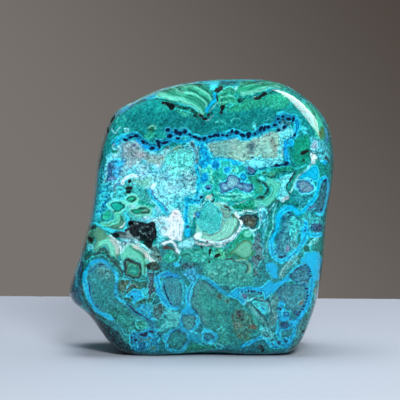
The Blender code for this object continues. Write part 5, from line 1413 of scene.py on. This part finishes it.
def vug_points():
    """Small crystals, rooted in the crust of the vug and leaning towards its mouth."""
    first = crystal()
    dice = random.Random(5)
    low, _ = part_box("vug_crystals")
    crust = Vector((VUG[0], low.y / MM, VUG[1]))
    points = []
    for _ in range(POINT_COUNT):
        angle, reach = dice.uniform(0, math.tau), POINT_REACH * math.sqrt(dice.random())
        across = Vector((math.cos(angle) * VUG[2], 0, math.sin(angle) * VUG[3])) * reach
        across.rotate(Matrix.Rotation(math.radians(-VUG[4]), 3, "Y"))
        sunk = max(BOWL_DEPTH * (1 - (reach / BOWL_REACH) ** 2), 0)
        root = crust + across + Vector((0, ROOT_DEPTH + sunk, 0))
        lean = Vector((dice.uniform(-POINT_LEAN, POINT_LEAN), -1, dice.uniform(-POINT_LEAN, POINT_LEAN)))
        size = dice.uniform(0.5, 1.05) + 0.2 * sunk
        point = first.copy()
        point.data = first.data.copy()
        turn = lean.to_track_quat("Z", "X").to_matrix().to_4x4()
        place = Matrix.Scale(MM, 4) @ Matrix.Translation(root) @ turn
        point.data.transform(place @ Matrix.Scale(size / MM, 4))
        bpy.context.collection.objects.link(point)
        points.append(point)
    bpy.data.objects.remove(first)
    bpy.ops.object.select_all(action="DESELECT")
    for point in points:
        point.select_set(True)
    bpy.context.view_layer.objects.active = points[0]
    bpy.ops.object.join()
    points[0].name = "vug_points"
    return points[0]


# Materials ------------------------------------------------------------------------------------


class Recipe:
    """The nodes of one material. A value is a number, a colour or another node's output."""

    def __init__(self, name):
        self.material = bpy.data.materials.new(name)
        self.material.use_nodes = True
        self.tree = self.material.node_tree
        self.surface = self.tree.nodes["Principled BSDF"]
        places = self.add("ShaderNodeTexCoord", {}).outputs["Object"]
        self.places = self.scale(places, 1 / MM)

    def add(self, kind, values, **settings):
        """A new node with values in its sockets, by their names or numbers."""
        node = self.tree.nodes.new(kind)
        for name, setting in settings.items():
            setattr(node, name, setting)
        for socket, value in values.items():
            if isinstance(value, bpy.types.NodeSocket):
                self.tree.links.new(value, node.inputs[socket])
            elif isinstance(value, np.ndarray):
                node.inputs[socket].default_value = (*value, 1)
            else:
                node.inputs[socket].default_value = value
        return node

    def read(self, name, output="Fac"):
        return self.add("ShaderNodeAttribute", {}, attribute_name=name).outputs[output]

    def math(self, operation, *values):
        return self.add("ShaderNodeMath", dict(enumerate(values)), operation=operation).outputs[0]

    def vector(self, operation, values):
        return self.add("ShaderNodeVectorMath", values, operation=operation).outputs[0]

    def noise(self, size, detail=2.0, roughness=0.5, shift=0.0):
        """Noise about 0, of lumps of a size in mm."""
        places = self.vector("ADD", {0: self.places, 1: (shift, shift, shift)})
        values = {"Vector": places, "Scale": 1 / size, "Detail": detail, "Roughness": roughness}
        return self.math("SUBTRACT", self.add("ShaderNodeTexNoise", values).outputs["Fac"], 0.5)

    def cells(self, size, output, **settings):
        """Cells about size mm across, with crumpled borders."""
        values = {"Vector": self.crumpled, "Scale": 1 / size}
        return self.add("ShaderNodeTexVoronoi", values, **settings).outputs[output]

    def smooth(self, value, low, high, start=0.0, end=1.0):
        """Goes smoothly from start to end while a value goes from low to high."""
        values = {"Value": value, "From Min": low, "From Max": high, "To Min": start, "To Max": end}
        return self.add("ShaderNodeMapRange", values, interpolation_type="SMOOTHSTEP").outputs["Result"]

    def mix(self, share, first, second):
        return self.add("ShaderNodeMix", {0: share, 6: first, 7: second}, data_type="RGBA").outputs[2]

    def scale(self, colour, factor):
        return self.vector("SCALE", {0: colour, "Scale": factor})

    def ramp(self, value, *stops):
        """Greys along a value: each stop is a place and its grey."""
        node = self.add("ShaderNodeValToRGB", {"Fac": value})
        for number, (place, level) in enumerate(stops):
            new = number >= len(node.color_ramp.elements)
            stop = node.color_ramp.elements.new(place) if new else node.color_ramp.elements[number]
            stop.position, stop.color = place, (level, level, level, 1)
        return node.outputs["Color"]

    def finish(self, **sockets):
        """Sets the shader's sockets by name, with _ for a space."""
        for name, value in sockets.items():
            socket = self.surface.inputs[name.replace("_", " ")]
            if isinstance(value, bpy.types.NodeSocket):
                self.tree.links.new(value, socket)
            else:
                socket.default_value = value
        return self.material


def banded(stone, colour):
    """Malachite's light and dark bands, along the depths that the skin keeps."""
    phase = stone.math("MULTIPLY_ADD", stone.noise(4), 0.5, stone.read("bands"))
    phase = stone.math("MULTIPLY_ADD", stone.noise(1.1), 0.25, phase)
    stripes = stone.ramp(
        stone.math("FRACT", phase), (0, 0.22), (0.12, 0.9), (0.3, 0.62), (0.42, 0.8), (0.58, 0.34),
        (0.76, 0.86), (0.9, 0.4), (1, 0.22),
    )
    stripes = stone.scale(colour, stone.math("MULTIPLY", stripes, 1.5))
    return stone.mix(stone.read("band_strength"), colour, stripes)


def bordered(stone, colour):
    """Fine light and dark lines that follow each shape's edge, strong in some places only."""
    border = stone.math("DIVIDE", stone.math("ADD", stone.read("edge"), stone.wander), 4)
    lines = stone.ramp(
        stone.math("MAXIMUM", border, 0), (0, 0.9), (0.08, 0.85), (0.15, 0.2), (0.22, 0.25),
        (0.31, 0.68), (0.4, 0.38), (0.5, 0.6), (0.62, 0.42), (0.76, 0.54), (1, 0.5),
    )
    strength = stone.smooth(stone.noise(9, shift=21), -0.16, 0.1, -0.7, 1.3)
    lines = stone.math("MULTIPLY", stone.math("SUBTRACT", lines, 0.5), strength)
    colour = stone.scale(colour, stone.math("MULTIPLY_ADD", lines, 1, 1))
    return stone.mix(stone.smooth(lines, 0.05, 0.45, 0, 0.5), colour, BRIGHT_CYAN)


def netted(stone, colour):
    """The cyan network between rounded cells."""
    gap = stone.cells(2.2, "Distance", feature="DISTANCE_TO_EDGE")
    net = stone.math("MULTIPLY", stone.smooth(gap, 0.16, 0.03), stone.read("network"))
    return stone.mix(stone.math("MULTIPLY", net, 0.45), colour, BRIGHT_CYAN)


def grained(stone, colour):
    """The mottling within every area: deeper and paler grains, and thin threads."""
    grain = stone.read("grain")
    tint = stone.add("ShaderNodeSeparateColor", {0: stone.cells(1.05, "Color")}).outputs[0]
    worms = stone.math("ABSOLUTE", stone.noise(2.6, shift=33))
    swing = 0
    for part, share in (
        (stone.math("SUBTRACT", tint, 0.5), 0.5),
        (stone.noise(1, detail=3, roughness=0.7), 4.4),
        (stone.noise(4.5, detail=3, roughness=0.6, shift=40), 1.6),
        (stone.math("SUBTRACT", 0.45, stone.cells(1.7, "Distance")), 0.9),
        (stone.math("SUBTRACT", 0.09, worms), 3),
    ):
        swing = stone.math("MULTIPLY_ADD", part, share, swing)
    swing = stone.math("MULTIPLY", swing, grain)
    deeper = stone.vector("MULTIPLY", {0: colour, 1: (0.04, 0.3, 0.36)})
    dimmed = stone.math("MINIMUM", stone.math("MULTIPLY", swing, -1.15), 0.9)
    colour = stone.mix(stone.math("MAXIMUM", dimmed, 0), colour, deeper)
    lit = stone.math("MAXIMUM", stone.math("MINIMUM", swing, 1), 0)
    colour = stone.scale(colour, stone.math("MULTIPLY_ADD", lit, 0.75, 1))
    colour = stone.mix(stone.math("MULTIPLY", lit, 0.3), colour, PALE_CYAN)
    thread_strength = stone.math("MINIMUM", grain, 0.8)
    for width, shift, shade, share in ((0.03, 71, BRIGHT_CYAN, 0.35), (0.045, 87, rgb(4, 62, 78), 0.7)):
        thread = stone.math("ABSOLUTE", stone.noise(2, detail=1, shift=shift))
        thread = stone.math("MULTIPLY", stone.smooth(thread, width, 0), thread_strength)
        colour = stone.mix(stone.math("MULTIPLY", thread, share), colour, shade)
    return stone.scale(stone.add("ShaderNodeGamma", {0: colour, 1: 1.14}).outputs[0], 1.25)


def inked(stone, colour):
    """The white veins, the navy spots with their blue halos, and the dark seams. Gives the colour
    and how much of it is seam."""
    white, navy, dark = (stone.math("ADD", stone.read(ink), stone.wander) for ink in Skin.INKS)
    colour = stone.mix(stone.smooth(white, 0.25, -0.2), colour, ICE)
    halo = stone.math("MULTIPLY", stone.smooth(navy, 0.7, 0.3), 0.4)
    colour = stone.mix(halo, colour, SKY)
    core = stone.mix(stone.smooth(navy, -0.6, -1.4), NAVY * 0.6, COBALT * 0.3)
    colour = stone.mix(stone.smooth(navy, 0.22, -0.12), colour, core)
    seam = stone.smooth(dark, 0.25, -0.2)
    return stone.mix(seam, colour, rgb(7, 26, 28)), seam


def polished_chrysocolla():
    """Crisp inlays, bands, veinlets and grain under a high polish."""
    stone = Recipe("polished_chrysocolla")
    crumple = stone.add("ShaderNodeTexNoise", {"Vector": stone.places, "Scale": 1 / 2.5, "Detail": 2})
    crumple = {0: crumple.outputs["Color"], 1: (1.6, 1.6, 1.6), 2: stone.places}
    stone.crumpled = stone.vector("MULTIPLY_ADD", crumple)
    stone.wander = stone.math("MULTIPLY", stone.noise(1.3, shift=9), 0.9)
    colour = stone.read("minerals", "Color")
    for layer in (banded, bordered, netted, grained):
        colour = layer(stone, colour)
    colour, seam = inked(stone, colour)
    smears = stone.smooth(stone.noise(14, shift=5), -0.2, 0.3, 0, 0.06)
    bump = {"Height": stone.noise(3), "Strength": 0.12, "Distance": 0.25 * MM}
    return stone.finish(
        Base_Color=colour,
        Roughness=stone.math("MULTIPLY_ADD", seam, 0.5, stone.math("ADD", smears, 0.1)),
        IOR=1.5,
        Specular_IOR_Level=0.42,
        Normal=stone.add("ShaderNodeBump", bump).outputs["Normal"],
    )


def dark_druse(name, dark=INK, pale=rgb(16, 36, 40)):
    """The near-black crystals of the vug, their faces partly glossy, in patches of a paler colour that on
    the points are painted glints.
    """
    druse = Recipe(name)
    share = druse.smooth(druse.noise(2.6, detail=1), -0.02, 0.2)
    return druse.finish(
        Base_Color=druse.mix(share, dark, pale),
        Roughness=druse.smooth(druse.noise(0.7), -0.2, 0.2, 0.12, 0.4),
        IOR=1.54,
    )


# Assembly -------------------------------------------------------------------------------------

stone = polished_stone()
draw_minerals(stone)
stone.data.materials.clear()
stone.data.materials.append(polished_chrysocolla())
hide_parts("polished_stone")
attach(stone, "root")

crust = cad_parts["vug_crystals"]
for material_slot in crust.material_slots:
    material_slot.material = dark_druse("dark_druse")
points = vug_points()
points.data.materials.clear()
# The points' pale patches are painted glints on their faces.
points.data.materials.append(dark_druse("dark_points", rgb(14, 40, 46), rgb(150, 200, 206)))
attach(points, "root")


# Floor, backdrop, lights and camera -------------------------------------------------------------


def pane(name, corners, material):
    """A flat quadrilateral of the stage, its corners in mm."""
    bpy.ops.object.select_all(action="DESELECT")
    bpy.ops.mesh.primitive_plane_add()
    made = bpy.context.object
    made.name = name
    for vertex, corner in zip(made.data.vertices, corners):
        vertex.co = Vector(corner) * MM
    made.data.materials.append(material)


def floor_material():
    """A pale table top with painted shade that makes it a little darker at the back."""
    pale = Recipe("pale_floor")
    depth = pale.add("ShaderNodeSeparateXYZ", {0: pale.places}).outputs["Y"]
    # Painted shade: darker towards the back, as the light falls off.
    share = pale.smooth(pale.math("MULTIPLY_ADD", pale.noise(420), 120, depth), -320, 200)
    colour = pale.mix(share, rgb(206, 216, 230), rgb(190, 200, 216))
    return pale.finish(Base_Color=colour, Roughness=0.75)


def backdrop_material():
    """A soft warm grey that glows by itself, with painted shade falling off to the upper right."""
    grey = Recipe("warm_grey")
    across = grey.add("ShaderNodeSeparateXYZ", {0: grey.places})
    # Painted shade: the glow darkens towards the upper right.
    slant = grey.math("MULTIPLY_ADD", across.outputs["Z"], 0.8, across.outputs["X"])
    share = grey.smooth(slant, -260, 520)
    colour = grey.mix(share, rgb(119, 114, 110), rgb(70, 62, 57))
    black = (0, 0, 0, 1)
    return grey.finish(Base_Color=black, Emission_Color=colour, Emission_Strength=1, Roughness=1)


FLOOR_LEFT, FLOOR_RIGHT, FLOOR_FRONT = -1500, 1500, -800
FLOOR_BACK_LEFT, FLOOR_BACK_RIGHT = 285, 113  # the table's back edge runs aslant
floor = [(FLOOR_LEFT, FLOOR_FRONT, 0), (FLOOR_RIGHT, FLOOR_FRONT, 0)]
floor += [(FLOOR_LEFT, FLOOR_BACK_LEFT, 0), (FLOOR_RIGHT, FLOOR_BACK_RIGHT, 0)]
pane("floor", floor, floor_material())
WALL_REACH, WALL_BACK = 900, 1500
wall = [(x, WALL_BACK, z) for z in (-WALL_REACH, WALL_REACH) for x in (-WALL_REACH, WALL_REACH)]
pane("backdrop", wall, backdrop_material())

CAMERA_DISTANCE = 1.1  # metres
TARGET = Vector((-1, 0, 75.5)) * MM
camera = bpy.data.objects.new("camera", bpy.data.cameras.new("camera"))
bpy.context.collection.objects.link(camera)
camera.data.lens, camera.data.sensor_width = 198, 36
elevation = math.radians(5)
camera.location = TARGET + CAMERA_DISTANCE * Vector((0, -math.cos(elevation), math.sin(elevation)))
camera.rotation_euler = (TARGET - camera.location).to_track_quat("-Z", "Y").to_euler()
camera.data.clip_start, camera.data.clip_end = 0.05, 20
bpy.context.scene.camera = camera


def softbox(name, place, size, watts, along=(1, 0, 0), card=False):
    """A soft light aimed at the stone; place and size in metres, its first side laid along.
    A card shows in the polish only, and the other lights do not show in it."""
    light = bpy.data.lights.new(name, "AREA")
    light.shape, light.size, light.size_y, light.energy = "RECTANGLE", size[0], size[1], watts
    lamp = bpy.data.objects.new(name, light)
    bpy.context.collection.objects.link(lamp)
    back = (Vector(place) - TARGET).normalized()
    side = (Vector(along) - back * back.dot(Vector(along))).normalized()
    turn = Matrix((side, back.cross(side), back)).transposed().to_4x4()
    lamp.matrix_world = Matrix.Translation(place) @ turn
    lamp.visible_camera = False
    lamp.visible_glossy, lamp.visible_diffuse = card, not card


softbox("window", (0.63, 0.19, 0.69), (1.05, 0.4), 13, along=(0.45, -0.88, -0.3), card=True)
softbox("key", (0.3, -1.25, 0.95), (0.45, 0.35), 14.5)
softbox("overhead", (-0.05, 0.05, 1.2), (0.7, 0.6), 8)

world = bpy.data.worlds.new("studio")
bpy.context.scene.world = world
world.use_nodes = True
world.node_tree.nodes["Background"].inputs["Color"].default_value = (*rgb(94, 96, 99), 1)
world.node_tree.nodes["Background"].inputs["Strength"].default_value = 1.0
bpy.context.scene.view_settings.view_transform = "Standard"
